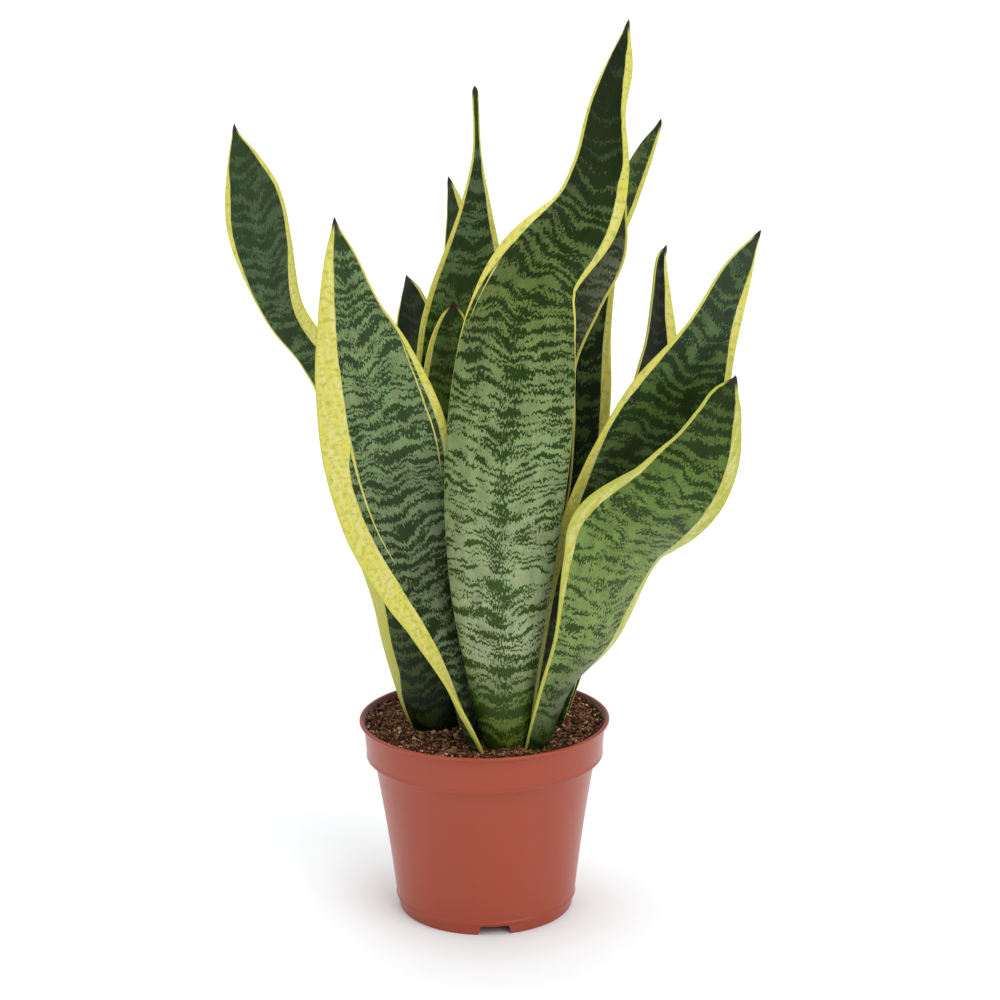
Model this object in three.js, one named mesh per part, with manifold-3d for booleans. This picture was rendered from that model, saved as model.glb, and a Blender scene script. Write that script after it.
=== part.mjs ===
// A snake plant in a plastic nursery pot: millimetres, +Z up, with the origin on
// the pot's axis, in the plane that its foot ring stands on. The front of the
// plant faces -Y.

import * as THREE from 'three';
import { mergeVertices } from 'three/addons/utils/BufferGeometryUtils.js';
import Module from 'manifold-3d';

const wasm = await Module();
wasm.setup();

// ---- Driving dimensions -----------------------------------------------------

const GAP = 0.55; // clearance between pieces that touch
const WELD = 1e-4; // points closer than this are one point

const POT_HEIGHT = 94.5;
const POT_SIDES = 48;
const LIP_RADIUS = 60; // the thin flat bead round the top
const LIP_DEPTH = 1.6;
const LIP_WIDTH = 1.6;
const COLLAR_RADIUS = 57.9; // the band under the lip
const COLLAR_HEIGHT = 16.6;
const COLLAR_DRAFT = 1.2; // the collar is this much slimmer at its lower edge
const COLLAR_ROUND = 1; // the rounding of that edge
const BODY_TOP_RADIUS = 53.5;
const BODY_FOOT_RADIUS = 43.4;
const BODY_HOLLOW = 0.7; // how far the body draws in between, at its middle
const BODY_STEPS = 4;
const FOOT_RADIUS = 42.6;
const FOOT_HEIGHT = 5.5;
const FOOT_DRAFT = 0.6;
const FOOT_WALL = 2.4;
const WALL = 1.5;
const FLOOR_THICKNESS = 1.8;
const EDGE_BREAK = 0.5; // the small bevel on the lip and the foot
const FILLET = 1; // the pot's inner corners
const NOTCH_WIDTH = 16.5; // the gaps in the foot ring that let water run out
const NOTCH_HEIGHT = 4.4;
const NOTCH_SPLAY = 1.6; // how far each side of a notch leans in towards its top
const NOTCH_CORNER = 0.8;
const NOTCH_REACH = 12; // along the radius, well past the foot ring's wall
const NOTCH_COUNT = 3;
const NOTCH_FIRST_ANGLE = -84; // degrees from +X, just right of the front
const DRAIN_RADIUS = 4;
const DRAIN_CIRCLE = 26;
const DRAIN_COUNT = 6;
const DRAIN_SIDES = 16;

const LIP_BOTTOM = POT_HEIGHT - LIP_DEPTH;
const COLLAR_BOTTOM = LIP_BOTTOM - COLLAR_HEIGHT;
const FLOOR_TOP = FOOT_HEIGHT + FLOOR_THICKNESS;

const SOIL_LEVEL = 91.2; // where the soil meets the pot's wall
const SOIL_MOUND = 1.2; // how much higher it lies in the middle
const SOIL_RINGS = 7;
const SOIL_WAVES = [
  // the bumps in the soil: how high, how far apart, and which way they run
  { height: 0.6, spacing: 21, angle: 12, phase: 1.1 },
  { height: 0.5, spacing: 16, angle: 96, phase: 2.3 },
  { height: 0.4, spacing: 12, angle: 51, phase: 0.4 },
];

const ROOT_LEVEL = 78; // the lower end of the leaves, in the soil
const ROOM_ABOVE_SOIL = 12; // how far above the soil a leaf's hole is cut
const CROWN_TOP = 80;
const CROWN_DEPTH = 27;
const CROWN_SIDES = 16;
const CROWN_SHOULDER = 7; // below the top, where a crown is widest
const CROWN_BELLY = 5; // above the bottom, where it has most of its width
const STEM_RADIUS = 8;
const STEM_LEVEL = 63;
const STEM_SIDES = 10;
const STEM_STEPS = 5;
const STEM_SAG = 4; // how far a stem dips between two crowns

const EDGE_THICKNESS = 1.1; // a leaf's margin
const TIP_THICKNESS = 1.6; // the middle of a leaf near its tip
const THINNING = 1.5; // how soon a leaf thins above its root
const FULLNESS = 2.5; // how square-shouldered a leaf's section is
const AWL_HALF_WIDTH = 4; // a leaf narrower than this closes into a round awl
const AWL_EDGE = 0.6; // the awl's edge, as a share of the margin's thickness
const LEAST_HALF_WIDTH = 0.5;
const RIPPLE_REACH = 3; // how closely the ripples keep to the margins
const FLAT_CURL = 0.01; // radians; a blade that curls less than this is flat
const ROW_LENGTH = 17; // between two rows of points along a leaf
const STRIPS = 6; // facets across a leaf

// ---- The leaves -------------------------------------------------------------

// A leaf is a row of stations from its root to its tip. A station says where
// the middle of the blade is (x, y, z), half the blade's width, which way the
// blade faces (turn: 0 to the front, 90 to the right) and how far each edge
// curls towards that side (left, right: degrees, negative to curl away).
function station(x, y, z, half, turn, left, right) {
  return { x, y, z, half, turn, left, right };
}

const LEAVES = [
  {
    name: 'leaf_front',
    color: 0x5f7d55,
    rootThickness: 6,
    wave: { size: 0.8, count: 3, phase: 0.4 },
    stations: [
      station(7.5, -32, ROOT_LEVEL, 9, 0, -40, -40),
      station(10, -38, 91, 10.6, 0, -40, -40),
      station(8.6, -43, 127, 17.5, 0, -40, -40),
      station(7.8, -46, 168, 24.6, -3, -38, -38),
      station(9.4, -47, 214, 29.2, -6, -35, -35),
      station(12.8, -47, 256, 29.4, -10, -30, -32),
      station(16.8, -45, 290, 25.8, -15, -20, -30),
      station(24.4, -42, 314, 20.6, -18, -12, -28),
      station(44.6, -38, 336, 17, -22, -10, -25),
      station(52.5, -35, 357, 13.8, -25, -10, -20),
      station(55.4, -32, 382, 9.2, -28, -10, -15),
      station(61, -30, 401, 6.5, -28, -10, -10),
      station(64.6, -28, 417, 1.5, -28, 0, 0),
      station(65.6, -28, 422, 0.6, -28, 0, 0),
    ],
  },
  {
    name: 'leaf_front_left',
    color: 0x5a7a58,
    rootThickness: 5,
    wave: { size: 0.8, count: 3, phase: 1.2 },
    stations: [
      station(-3, -27, ROOT_LEVEL, 14, 84, 60, 60),
      station(-5.5, -30, 91, 16.5, 80, 60, 60),
      station(-12.5, -30, 130, 20, 50, 45, 45),
      station(-20.5, -31, 157, 24, 38, 35, 35),
      station(-28.5, -32, 177, 27, 30, 30, 30),
      station(-39.2, -33, 205, 29.6, 25, 25, 25),
      station(-45, -35, 239, 30.2, 20, 20, 20),
      station(-53, -38, 274, 23, 18, 18, 18),
      station(-58, -40, 297, 14.6, 15, 15, 15),
      station(-61, -41, 320, 7.4, 12, 10, 10),
      station(-62.8, -42, 334, 1.6, 10, 0, 0),
      station(-63.2, -42, 339, 0.6, 10, 0, 0),
    ],
  },
  {
    name: 'leaf_front_right',
    color: 0x547c3e,
    rootThickness: 5,
    wave: { size: 1, count: 3, phase: 2.1 },
    stations: [
      station(24.8, -29.6, ROOT_LEVEL, 8.6, 51, -45, -45),
      station(26.5, -35.4, 91, 9.2, 51, -45, -45),
      station(35.6, -39.5, 119.7, 12.7, 56.9, -44, -20),
      station(49.6, -42.8, 146, 20.4, 46.8, -40, -12),
      station(59.8, -42.3, 179.3, 27.7, 41.7, -36, -8),
      station(67.4, -44, 194.7, 31.1, 34.6, -24, -8),
      station(86.8, -54.3, 215.3, 24.2, 25.8, -12, -8),
      station(97.6, -55.3, 232.1, 18.2, 12.5, -14, -10),
      station(103.9, -58, 249.8, 11.4, 6.6, -10, -10),
      station(106.8, -58, 260, 7.2, 4, 0, 0),
      station(110.6, -59, 268, 1.6, 0, 0, 0),
      station(111.4, -59, 271, 0.6, 0, 0, 0),
    ],
  },
  {
    name: 'leaf_right',
    color: 0x4d6f3c,
    rootThickness: 5,
    wave: { size: 1, count: 3, phase: 0.2 },
    stations: [
      station(26, -4, ROOT_LEVEL, 8, 10, 35, 35),
      station(28, -6, 91, 9, 10, 35, 35),
      station(37.6, -10, 138, 14, 15, 30, 30),
      station(44.9, -17, 166, 18.2, 18, 25, 25),
      station(56.2, -26, 196, 23.6, 20, 20, 20),
      station(73.4, -32, 225.6, 28.6, 20, 15, 15),
      station(87, -37, 255, 24.8, 20, 12, 12),
      station(101.2, -41, 285, 13.6, 20, 10, 10),
      station(112.2, -44, 312.4, 7.7, 15, 5, 5),
      station(120.4, -45, 327.9, 1.7, 10, 0, 0),
      station(122.9, -46, 332.4, 0.6, 10, 0, 0),
    ],
  },
  {
    name: 'leaf_left',
    color: 0x4a6a4a,
    rootThickness: 5,
    wave: { size: 1, count: 3, phase: 0.9 },
    stations: [
      station(-21, -10, ROOT_LEVEL, 12, -22, -35, -35),
      station(-23.3, -14, 91, 13, -22, -35, -35),
      station(-28.5, -14, 108, 15, -22, -30, -30),
      station(-35, -10, 134, 16.5, -20, -28, -28),
      station(-39.5, -8, 157, 15.8, -18, -20, -20),
      station(-50, -6, 196, 15.8, -18, -10, -10),
      station(-62.5, 5, 245, 13, -20, 5, 5),
      station(-77.4, 14, 267.8, 9.8, -22, 8, 15),
      station(-92.3, 26, 287.6, 12.4, -25, 10, 22),
      station(-101.8, 34, 317.4, 17.6, -26, 8, 20),
      station(-106.8, 38, 338.2, 16.2, -26, 5, 10),
      station(-111.5, 41, 355.2, 9.7, -26, 0, 0),
      station(-115.1, 43, 369.2, 1.9, -26, 0, 0),
      station(-115.5, 44, 374.2, 0.6, -26, 0, 0),
    ],
  },
  {
    name: 'leaf_back_left',
    color: 0x47693c,
    rootThickness: 5,
    wave: { size: 0.8, count: 3, phase: 2.6 },
    stations: [
      station(-13, 3, ROOT_LEVEL, 9, 10, 30, 30),
      station(-13, 3, 91, 10, 12, 30, 30),
      station(-13, 4, 150, 18, 20, 28, 28),
      station(-13.5, 5, 224, 26, 28, 25, 25),
      station(-9.8, 8, 271, 25.6, 30, 20, 20),
      station(-7.8, 10, 293, 21, 30, 15, 15),
      station(-4.2, 12, 317, 14.6, 30, 10, 10),
      station(-2, 14, 338.6, 7.6, 25, 5, 5),
      station(-1.2, 16, 361, 2.2, 20, 0, 0),
      station(-1.8, 18, 387, 1.5, 10, 0, 0),
      station(-2.4, 18, 392, 0.6, 0, 0, 0),
    ],
  },
  {
    name: 'leaf_back_far',
    color: 0x3d5c3a,
    rootThickness: 4,
    wave: { size: 0.6, count: 2, phase: 0.5 },
    stations: [
      station(-18, 18, ROOT_LEVEL, 7, -10, 30, 30),
      station(-18, 20, 91, 8, -15, 30, 30),
      station(-16, 28, 194, 12.6, -30, 20, 20),
      station(-11, 38, 266, 13.2, -38, 15, 15),
      station(-10.5, 44, 318, 8.2, -40, 8, 8),
      station(-12.4, 48, 334.5, 4.7, -40, 0, 0),
      station(-14.8, 50, 345, 1.4, -40, 0, 0),
      station(-15.3, 50, 348.3, 0.6, -40, 0, 0),
    ],
  },
  {
    name: 'leaf_back_small',
    color: 0x314631,
    rootThickness: 4,
    wave: { size: 0.6, count: 2, phase: 1.5 },
    stations: [
      station(-29, 12, ROOT_LEVEL, 6, -20, 30, 30),
      station(-29, 12, 91, 7.5, -25, 30, 30),
      station(-30, 14, 170, 12, -40, 25, 25),
      station(-30.4, 16, 237, 15, -45, 20, 20),
      station(-30.4, 18, 279, 12.5, -45, 10, 10),
      station(-32.3, 19, 295, 7.4, -45, 0, 0),
      station(-34.4, 20, 303, 1.6, -45, 0, 0),
      station(-34.8, 20, 305.5, 0.6, -45, 0, 0),
    ],
  },
  {
    name: 'leaf_middle_left',
    color: 0x4f7434,
    rootThickness: 4,
    wave: { size: 0.6, count: 2, phase: 0.8 },
    stations: [
      station(-4, -9, ROOT_LEVEL, 5, 10, 35, 35),
      station(-5, -9, 91, 5.5, 10, 35, 35),
      station(-6.5, -13, 134, 8, 12, 30, 30),
      station(-13, -12, 190, 13.4, 15, 25, 25),
      station(-14.7, -9, 230, 15.6, 18, 20, 20),
      station(-14.6, -8, 252, 15.4, 20, 20, 20),
      station(-13.6, -6, 273, 12.5, 20, 15, 15),
      station(-12.9, -5, 287, 6.8, 20, 0, 0),
      station(-12.6, -5, 294, 1.5, 20, 0, 0),
      station(-12.6, -5, 297, 0.6, 20, 0, 0),
    ],
  },
  {
    name: 'leaf_back_tall',
    color: 0x4a6d38,
    rootThickness: 5,
    wave: { size: 0.8, count: 3, phase: 1.8 },
    stations: [
      station(18, 1, ROOT_LEVEL, 7, 0, 35, 35),
      station(20, 2, 91, 8, -5, 35, 35),
      station(34, 5, 152.5, 12.6, -15, 30, 30),
      station(42.7, 10, 200, 16.2, -25, 25, 25),
      station(47.9, 16, 245.6, 16, -32, 20, 20),
      station(51.1, 22, 278, 12.6, -35, 15, 15),
      station(58.2, 26, 314.6, 9, -35, 10, 10),
      station(67.5, 31, 338.2, 7.3, -35, 5, 5),
      station(77.3, 35, 359.8, 4.6, -35, 0, 0),
      station(83.4, 37, 370.8, 1.6, -35, 0, 0),
      station(84.8, 38, 375.5, 0.6, -35, 0, 0),
    ],
  },
  {
    name: 'leaf_folded',
    color: 0x6d7a68,
    rootThickness: 4,
    wave: { size: 0.6, count: 2, phase: 2.9 },
    stations: [
      station(12, -19, ROOT_LEVEL, 5.5, 0, -35, -35),
      station(13, -20, 91, 6, -5, -35, -35),
      station(17.4, -21, 156, 7.4, -12, -30, -30),
      station(28.5, -19, 204, 10.8, -20, -25, -25),
      station(33.6, -18, 240, 9.8, -30, -20, -20),
      station(36.4, -19, 270, 7.6, -35, -20, -20),
      station(44.6, -20, 297, 10.4, -35, -15, -15),
      station(54.8, -21, 320.5, 11.8, -35, -10, -10),
      station(60, -22, 339, 6.8, -35, 0, 0),
      station(62.6, -22, 350, 1.6, -35, 0, 0),
      station(63, -22, 353, 0.6, -35, 0, 0),
    ],
  },
  {
    name: 'leaf_back_right',
    color: 0x3a5236,
    rootThickness: 4,
    wave: { size: 0.8, count: 2, phase: 0.1 },
    stations: [
      station(31, 13, ROOT_LEVEL, 6.5, 10, 30, 30),
      station(33, 14, 91, 7.7, 15, 30, 30),
      station(56.4, 26, 165, 11.6, 25, 25, 25),
      station(71.8, 34, 203.2, 14.8, 32, 20, 20),
      station(82.2, 42, 247.4, 14.2, 38, 20, 20),
      station(85, 46, 267.2, 10.7, 40, 20, 20),
      station(85.7, 48, 287.6, 7.3, 40, 15, 15),
      station(86.2, 50, 305.8, 4, 40, 10, 10),
      station(88.4, 52, 312, 1.3, 40, 0, 0),
      station(89.1, 52, 314.8, 0.6, 40, 0, 0),
    ],
  },
];

// Where the leaves of one shoot spring from the rhizome.
const CROWNS = [
  { x: 9, y: -26, radius: 19 },
  { x: -16, y: 1, radius: 17 },
  { x: 26, y: 2, radius: 14 },
];

// ---- Solids -----------------------------------------------------------------

const radians = (degrees) => (degrees * Math.PI) / 180;

function solidOf(geometry) {
  const bare = new THREE.BufferGeometry();
  bare.setAttribute('position', geometry.attributes.position);
  bare.setIndex(geometry.index);
  const merged = mergeVertices(bare, WELD);
  const corners = merged.index.array;
  const kept = [];
  for (let i = 0; i < corners.length; i += 3) {
    const [a, b, c] = [corners[i], corners[i + 1], corners[i + 2]];
    if (a !== b && b !== c && c !== a) kept.push(a, b, c);
  }
  return new wasm.Manifold(new wasm.Mesh({
    numProp: 3,
    vertProperties: Float32Array.from(merged.attributes.position.array),
    triVerts: Uint32Array.from(kept),
  }));
}

function geometryOf(solid) {
  const mesh = solid.getMesh();
  const geometry = new THREE.BufferGeometry();
  geometry.setAttribute('position', new THREE.BufferAttribute(mesh.vertProperties, 3));
  geometry.setIndex(new THREE.BufferAttribute(mesh.triVerts, 1));
  geometry.computeVertexNormals();
  return geometry;
}

// Turns a profile of [radius, height] points round the Z axis.
function turned(profile, sides) {
  const points = profile.map(([radius, height]) => new THREE.Vector2(radius, height));
  return new THREE.LatheGeometry(points, sides).rotateX(Math.PI / 2);
}

function largestBody(solid) {
  const bodies = solid.decompose();
  return bodies.reduce((best, body) => (body.volume() > best.volume() ? body : best));
}

// ---- Leaf blades ------------------------------------------------------------

// A smooth value between the stations: a Catmull-Rom curve through one of
// their numbers, at a place counted in stations from the root.
function smooth(stations, key, place) {
  const last = stations.length - 1;
  const i = Math.min(Math.floor(place), last - 1);
  const t = place - i;
  const value = (k) => stations[Math.max(0, Math.min(last, k))][key];
  const [a, b, c, d] = [value(i - 1), value(i), value(i + 1), value(i + 2)];
  const bend = 2 * a - 5 * b + 4 * c - d;
  const twist = 3 * (b - c) + d - a;
  return b + (t / 2) * (c - a + t * (bend + t * twist));
}

function middle(stations, place) {
  return new THREE.Vector3(
    smooth(stations, 'x', place),
    smooth(stations, 'y', place),
    smooth(stations, 'z', place),
  );
}

// Places along the leaf, about ROW_LENGTH apart, with a row at every station.
function rowPlaces(stations) {
  const places = [0];
  for (let i = 1; i < stations.length; i += 1) {
    const length = middle(stations, i).distanceTo(middle(stations, i - 1));
    const steps = Math.max(1, Math.round(length / ROW_LENGTH));
    for (let step = 1; step <= steps; step += 1) places.push(i - 1 + step / steps);
  }
  return places;
}

// The frame of the blade at a place: out of its face, and across it.
function bladeFrame(stations, place) {
  const step = 0.02;
  const last = stations.length - 1;
  const ahead = middle(stations, Math.min(last, place + step));
  const behind = middle(stations, Math.max(0, place - step));
  const along = ahead.sub(behind).normalize();
  const turn = radians(smooth(stations, 'turn', place));
  const facing = new THREE.Vector3(Math.sin(turn), -Math.cos(turn), 0);
  facing.addScaledVector(along, -facing.dot(along)).normalize();
  const across = new THREE.Vector3().crossVectors(along, facing);
  return { facing, across };
}

// Half the blade's section is an arc. This is the point at a share of it: how
// far over to the side, how far out of the face, and how much it leans.
function arcPoint(half, curl, spread) {
  if (Math.abs(curl) < FLAT_CURL) return { over: half * spread, out: 0, lean: 0 };
  const radius = half / curl;
  const lean = curl * spread;
  return { over: radius * Math.sin(lean), out: radius * (1 - Math.cos(lean)), lean };
}

// A blade is thick along its middle and thin at its margins, and it thins out
// from its root to its tip. Share runs along the leaf, reach to its margin.
function bladeThickness(rootThickness, share, reach, slim) {
  const thinned = (1 - share) ** THINNING;
  const middlePart = TIP_THICKNESS + (rootThickness - TIP_THICKNESS) * thinned;
  const edge = EDGE_THICKNESS * (AWL_EDGE + (1 - AWL_EDGE) * slim);
  return edge + Math.max(0, middlePart * slim - edge) * (1 - reach ** FULLNESS);
}

// How far the margin's ripples lift the blade off its arc.
function ripple(wave, share, reach, slim, side) {
  const beat = Math.sin(2 * Math.PI * wave.count * share + wave.phase + side);
  return wave.size * slim * beat * Math.sin(Math.PI * share) * reach ** RIPPLE_REACH;
}

// One row of points over the blade's width, on its two faces. A blade that
// grows is wider and thicker all round.
function bladeRow(leaf, place, grow) {
  const { stations, wave, rootThickness } = leaf;
  const { facing, across } = bladeFrame(stations, place);
  const centre = middle(stations, place);
  const half = Math.max(LEAST_HALF_WIDTH, smooth(stations, 'half', place));
  const share = place / (stations.length - 1);
  const slim = Math.min(1, half / AWL_HALF_WIDTH);
  const row = { front: [], back: [] };
  for (let i = 0; i <= STRIPS; i += 1) {
    const side = Math.sign((2 * i) / STRIPS - 1);
    const reach = Math.abs((2 * i) / STRIPS - 1);
    const curl = radians(smooth(stations, side < 0 ? 'left' : 'right', place));
    const { over, out, lean } = arcPoint(half, curl, reach * (1 + grow / half));
    const lift = ripple(wave, share, reach, slim, side);
    const thickness = bladeThickness(rootThickness, share, reach, slim) + 2 * grow;
    const point = centre.clone();
    point.addScaledVector(across, side * over).addScaledVector(facing, out + lift);
    const normal = facing.clone().multiplyScalar(Math.cos(lean));
    normal.addScaledVector(across, -side * Math.sin(lean));
    row.front.push(point.clone().addScaledVector(normal, thickness / 2));
    row.back.push(point.clone().addScaledVector(normal, -thickness / 2));
  }
  return row;
}

// The triangles of a closed blade with this many rows. Both faces are split
// along the same diagonals, so that they stay apart where the blade waves.
function bladeCorners(rowCount) {
  const corners = [];
  const width = STRIPS + 1;
  const perRow = 2 * width;
  const quad = (a, b, c, d) => corners.push(a, b, c, a, c, d);
  const backQuad = (a, b, c, d) => corners.push(a, c, b, a, d, c);
  for (let row = 0; row < rowCount - 1; row += 1) {
    const here = row * perRow;
    const next = here + perRow;
    const [hereBack, nextBack] = [here + width, next + width];
    for (let i = 0; i < STRIPS; i += 1) {
      quad(here + i, here + i + 1, next + i + 1, next + i);
      backQuad(hereBack + i, hereBack + i + 1, nextBack + i + 1, nextBack + i);
    }
    quad(hereBack, here, next, nextBack);
    quad(here + STRIPS, hereBack + STRIPS, nextBack + STRIPS, next + STRIPS);
  }
  const top = (rowCount - 1) * perRow;
  for (let i = 0; i < STRIPS; i += 1) {
    quad(width + i, width + i + 1, i + 1, i);
    quad(top + i, top + i + 1, top + width + i + 1, top + width + i);
  }
  return corners;
}

function bladeGeometry(leaf, places, grow = 0) {
  const positions = [];
  for (const place of places) {
    const { front, back } = bladeRow(leaf, place, grow);
    const drop = place === 0 ? grow : 0;
    for (const point of [...front, ...back]) positions.push(point.x, point.y, point.z - drop);
  }
  const geometry = new THREE.BufferGeometry();
  geometry.setAttribute('position', new THREE.Float32BufferAttribute(positions, 3));
  geometry.setIndex(bladeCorners(places.length));
  geometry.computeVertexNormals();
  return geometry;
}

// The room that a leaf's foot takes in the soil and the rhizome.
function footRoom(leaf) {
  const places = rowPlaces(leaf.stations);
  const ceiling = SOIL_LEVEL + ROOM_ABOVE_SOIL;
  const above = places.findIndex((place) => smooth(leaf.stations, 'z', place) > ceiling);
  return solidOf(bladeGeometry(leaf, places.slice(0, above + 1), GAP));
}

// ---- Pot --------------------------------------------------------------------

// The body's outer radius at a height between the foot and the collar. Its
// side draws in a little from a straight cone.
function bodyRadius(height) {
  const share = (height - FOOT_HEIGHT) / (COLLAR_BOTTOM - FOOT_HEIGHT);
  const cone = BODY_FOOT_RADIUS + (BODY_TOP_RADIUS - BODY_FOOT_RADIUS) * share;
  return cone - 4 * BODY_HOLLOW * share * (1 - share);
}

// Points on the body's side, from the foot up, held in from its surface.
function bodySide(from, to, inset) {
  const points = [];
  for (let step = 0; step <= BODY_STEPS; step += 1) {
    const height = from + ((to - from) * step) / BODY_STEPS;
    points.push([bodyRadius(height) - inset, height]);
  }
  return points;
}

// The inner wall from the floor's edge up into the collar, held in
// from the wall and raised off the floor by a clearance.
function innerProfile(clearance) {
  const points = [
    [bodyRadius(FLOOR_TOP) - WALL - 2 * FILLET, FLOOR_TOP],
    ...bodySide(FLOOR_TOP + 2 * FILLET, COLLAR_BOTTOM, WALL),
    [COLLAR_RADIUS - COLLAR_DRAFT - WALL, COLLAR_BOTTOM + WALL],
  ];
  return points.map(([radius, height]) => [radius - clearance, height + clearance]);
}

function outerProfile() {
  const collarLow = COLLAR_RADIUS - COLLAR_DRAFT;
  return [
    [FOOT_RADIUS - FOOT_DRAFT, 0],
    [FOOT_RADIUS, FOOT_HEIGHT],
    ...bodySide(FOOT_HEIGHT + EDGE_BREAK, COLLAR_BOTTOM - FILLET, 0),
    [collarLow - COLLAR_ROUND, COLLAR_BOTTOM],
    [collarLow, COLLAR_BOTTOM + COLLAR_ROUND],
    [COLLAR_RADIUS, LIP_BOTTOM],
    [LIP_RADIUS - EDGE_BREAK, LIP_BOTTOM],
    [LIP_RADIUS, LIP_BOTTOM + EDGE_BREAK],
    [LIP_RADIUS, POT_HEIGHT - EDGE_BREAK],
    [LIP_RADIUS - EDGE_BREAK, POT_HEIGHT],
  ];
}

function potSolid() {
  const mouth = [
    [LIP_RADIUS - LIP_WIDTH, POT_HEIGHT],
    [COLLAR_RADIUS - WALL + FILLET, POT_HEIGHT - FILLET],
    [COLLAR_RADIUS - WALL, LIP_BOTTOM - FILLET],
  ];
  const underside = [
    [FOOT_RADIUS - FOOT_WALL, FOOT_HEIGHT],
    [FOOT_RADIUS - FOOT_DRAFT - FOOT_WALL, 0],
  ];
  const outer = outerProfile();
  const inner = innerProfile(0).reverse();
  const floor = [[0, FLOOR_TOP], [0, FOOT_HEIGHT]];
  const shell = [...outer, ...mouth, ...inner, ...floor, ...underside, outer[0]];
  let pot = solidOf(turned(shell, POT_SIDES));
  for (let i = 0; i < NOTCH_COUNT; i += 1) {
    pot = pot.subtract(notch(NOTCH_FIRST_ANGLE + (360 * i) / NOTCH_COUNT));
  }
  for (let i = 0; i < DRAIN_COUNT; i += 1) {
    pot = pot.subtract(drain((360 * (i + 0.5)) / DRAIN_COUNT));
  }
  return pot;
}

// What is cut from the foot ring for one notch.
function notch(angle) {
  const side = NOTCH_WIDTH / 2;
  const top = side - NOTCH_SPLAY;
  const outline = new THREE.Shape();
  outline.moveTo(-side, -NOTCH_CORNER);
  outline.lineTo(side, -NOTCH_CORNER);
  outline.lineTo(top, NOTCH_HEIGHT - NOTCH_CORNER);
  outline.lineTo(top - NOTCH_CORNER, NOTCH_HEIGHT);
  outline.lineTo(NOTCH_CORNER - top, NOTCH_HEIGHT);
  outline.lineTo(-top, NOTCH_HEIGHT - NOTCH_CORNER);
  const cutter = new THREE.ExtrudeGeometry(outline, { depth: NOTCH_REACH, bevelEnabled: false });
  cutter.rotateX(Math.PI / 2).rotateZ(Math.PI / 2);
  cutter.translate(FOOT_RADIUS - NOTCH_REACH / 2, 0, 0).rotateZ(radians(angle));
  return solidOf(cutter);
}

// What is cut from the floor for one drain hole.
function drain(angle) {
  const depth = 4 * FLOOR_THICKNESS;
  const cutter = new THREE.CylinderGeometry(DRAIN_RADIUS, DRAIN_RADIUS, depth, DRAIN_SIDES);
  cutter.rotateX(Math.PI / 2).translate(DRAIN_CIRCLE, 0, FOOT_HEIGHT);
  return solidOf(cutter.rotateZ(radians(angle)));
}

// ---- Rhizome and soil -------------------------------------------------------

// A crown is the thick upright end of the rhizome that a shoot's leaves grow on.
function crown({ x, y, radius }, grow) {
  const bottom = CROWN_TOP - CROWN_DEPTH;
  const profile = [
    [0, bottom - grow],
    [0.45 * radius + grow, bottom - grow],
    [0.85 * radius + grow, bottom + CROWN_BELLY],
    [radius + grow, CROWN_TOP - CROWN_SHOULDER],
    [0.88 * radius + grow, CROWN_TOP + grow],
    [0, CROWN_TOP + grow],
  ];
  return solidOf(turned(profile, CROWN_SIDES).translate(x, y, 0));
}

// The creeping stem between two crowns.
function stem(from, to, grow) {
  const path = new THREE.CatmullRomCurve3([
    new THREE.Vector3(from.x, from.y, STEM_LEVEL),
    new THREE.Vector3((from.x + to.x) / 2, (from.y + to.y) / 2, STEM_LEVEL - STEM_SAG),
    new THREE.Vector3(to.x, to.y, STEM_LEVEL),
  ]);
  const section = new THREE.Shape();
  for (let i = 0; i < STEM_SIDES; i += 1) {
    const angle = (2 * Math.PI * i) / STEM_SIDES;
    const [px, py] = [Math.cos(angle), Math.sin(angle)].map((c) => c * (STEM_RADIUS + grow));
    if (i === 0) section.moveTo(px, py);
    else section.lineTo(px, py);
  }
  return solidOf(new THREE.ExtrudeGeometry(section, { steps: STEM_STEPS, extrudePath: path }));
}

function rhizomeSolid(grow = 0) {
  const [front, left, right] = CROWNS;
  let rhizome = crown(front, grow);
  for (const other of [left, right]) {
    rhizome = rhizome.add(crown(other, grow)).add(stem(front, other, grow));
  }
  return rhizome;
}

// Uneven ground: a low mound with bumps that fade out at the pot's wall.
function groundHeight(x, y, radius) {
  const share = Math.min(1, Math.hypot(x, y) / radius);
  let bumps = 0;
  for (const { height, spacing, angle, phase } of SOIL_WAVES) {
    const run = x * Math.cos(radians(angle)) + y * Math.sin(radians(angle));
    bumps += height * Math.sin((2 * Math.PI * run) / spacing + phase);
  }
  return SOIL_MOUND * (1 - share ** 2) + bumps * (1 - share ** 6);
}

function soilSolid() {
  const topRadius = COLLAR_RADIUS - WALL - GAP;
  const profile = [[0, FLOOR_TOP + GAP], ...innerProfile(GAP)];
  for (let ring = 0; ring <= SOIL_RINGS; ring += 1) {
    profile.push([topRadius * (1 - ring / SOIL_RINGS), SOIL_LEVEL]);
  }
  const body = turned(profile, POT_SIDES);
  const points = body.attributes.position;
  for (let i = 0; i < points.count; i += 1) {
    const [x, y, z] = [points.getX(i), points.getY(i), points.getZ(i)];
    if (z > SOIL_LEVEL - WELD) points.setZ(i, z + groundHeight(x, y, topRadius));
  }
  return solidOf(body);
}

// ---- Assembly ---------------------------------------------------------------

function material(name, color, roughness) {
  return new THREE.MeshStandardMaterial({ name, color, roughness, metalness: 0 });
}

function piece(name, geometry, finish) {
  const mesh = new THREE.Mesh(geometry, finish);
  mesh.name = name;
  return mesh;
}

const plant = new THREE.Group();
plant.add(piece('pot', geometryOf(potSolid()), material('pot_plastic', 0xa4553f, 0.55)));

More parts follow.
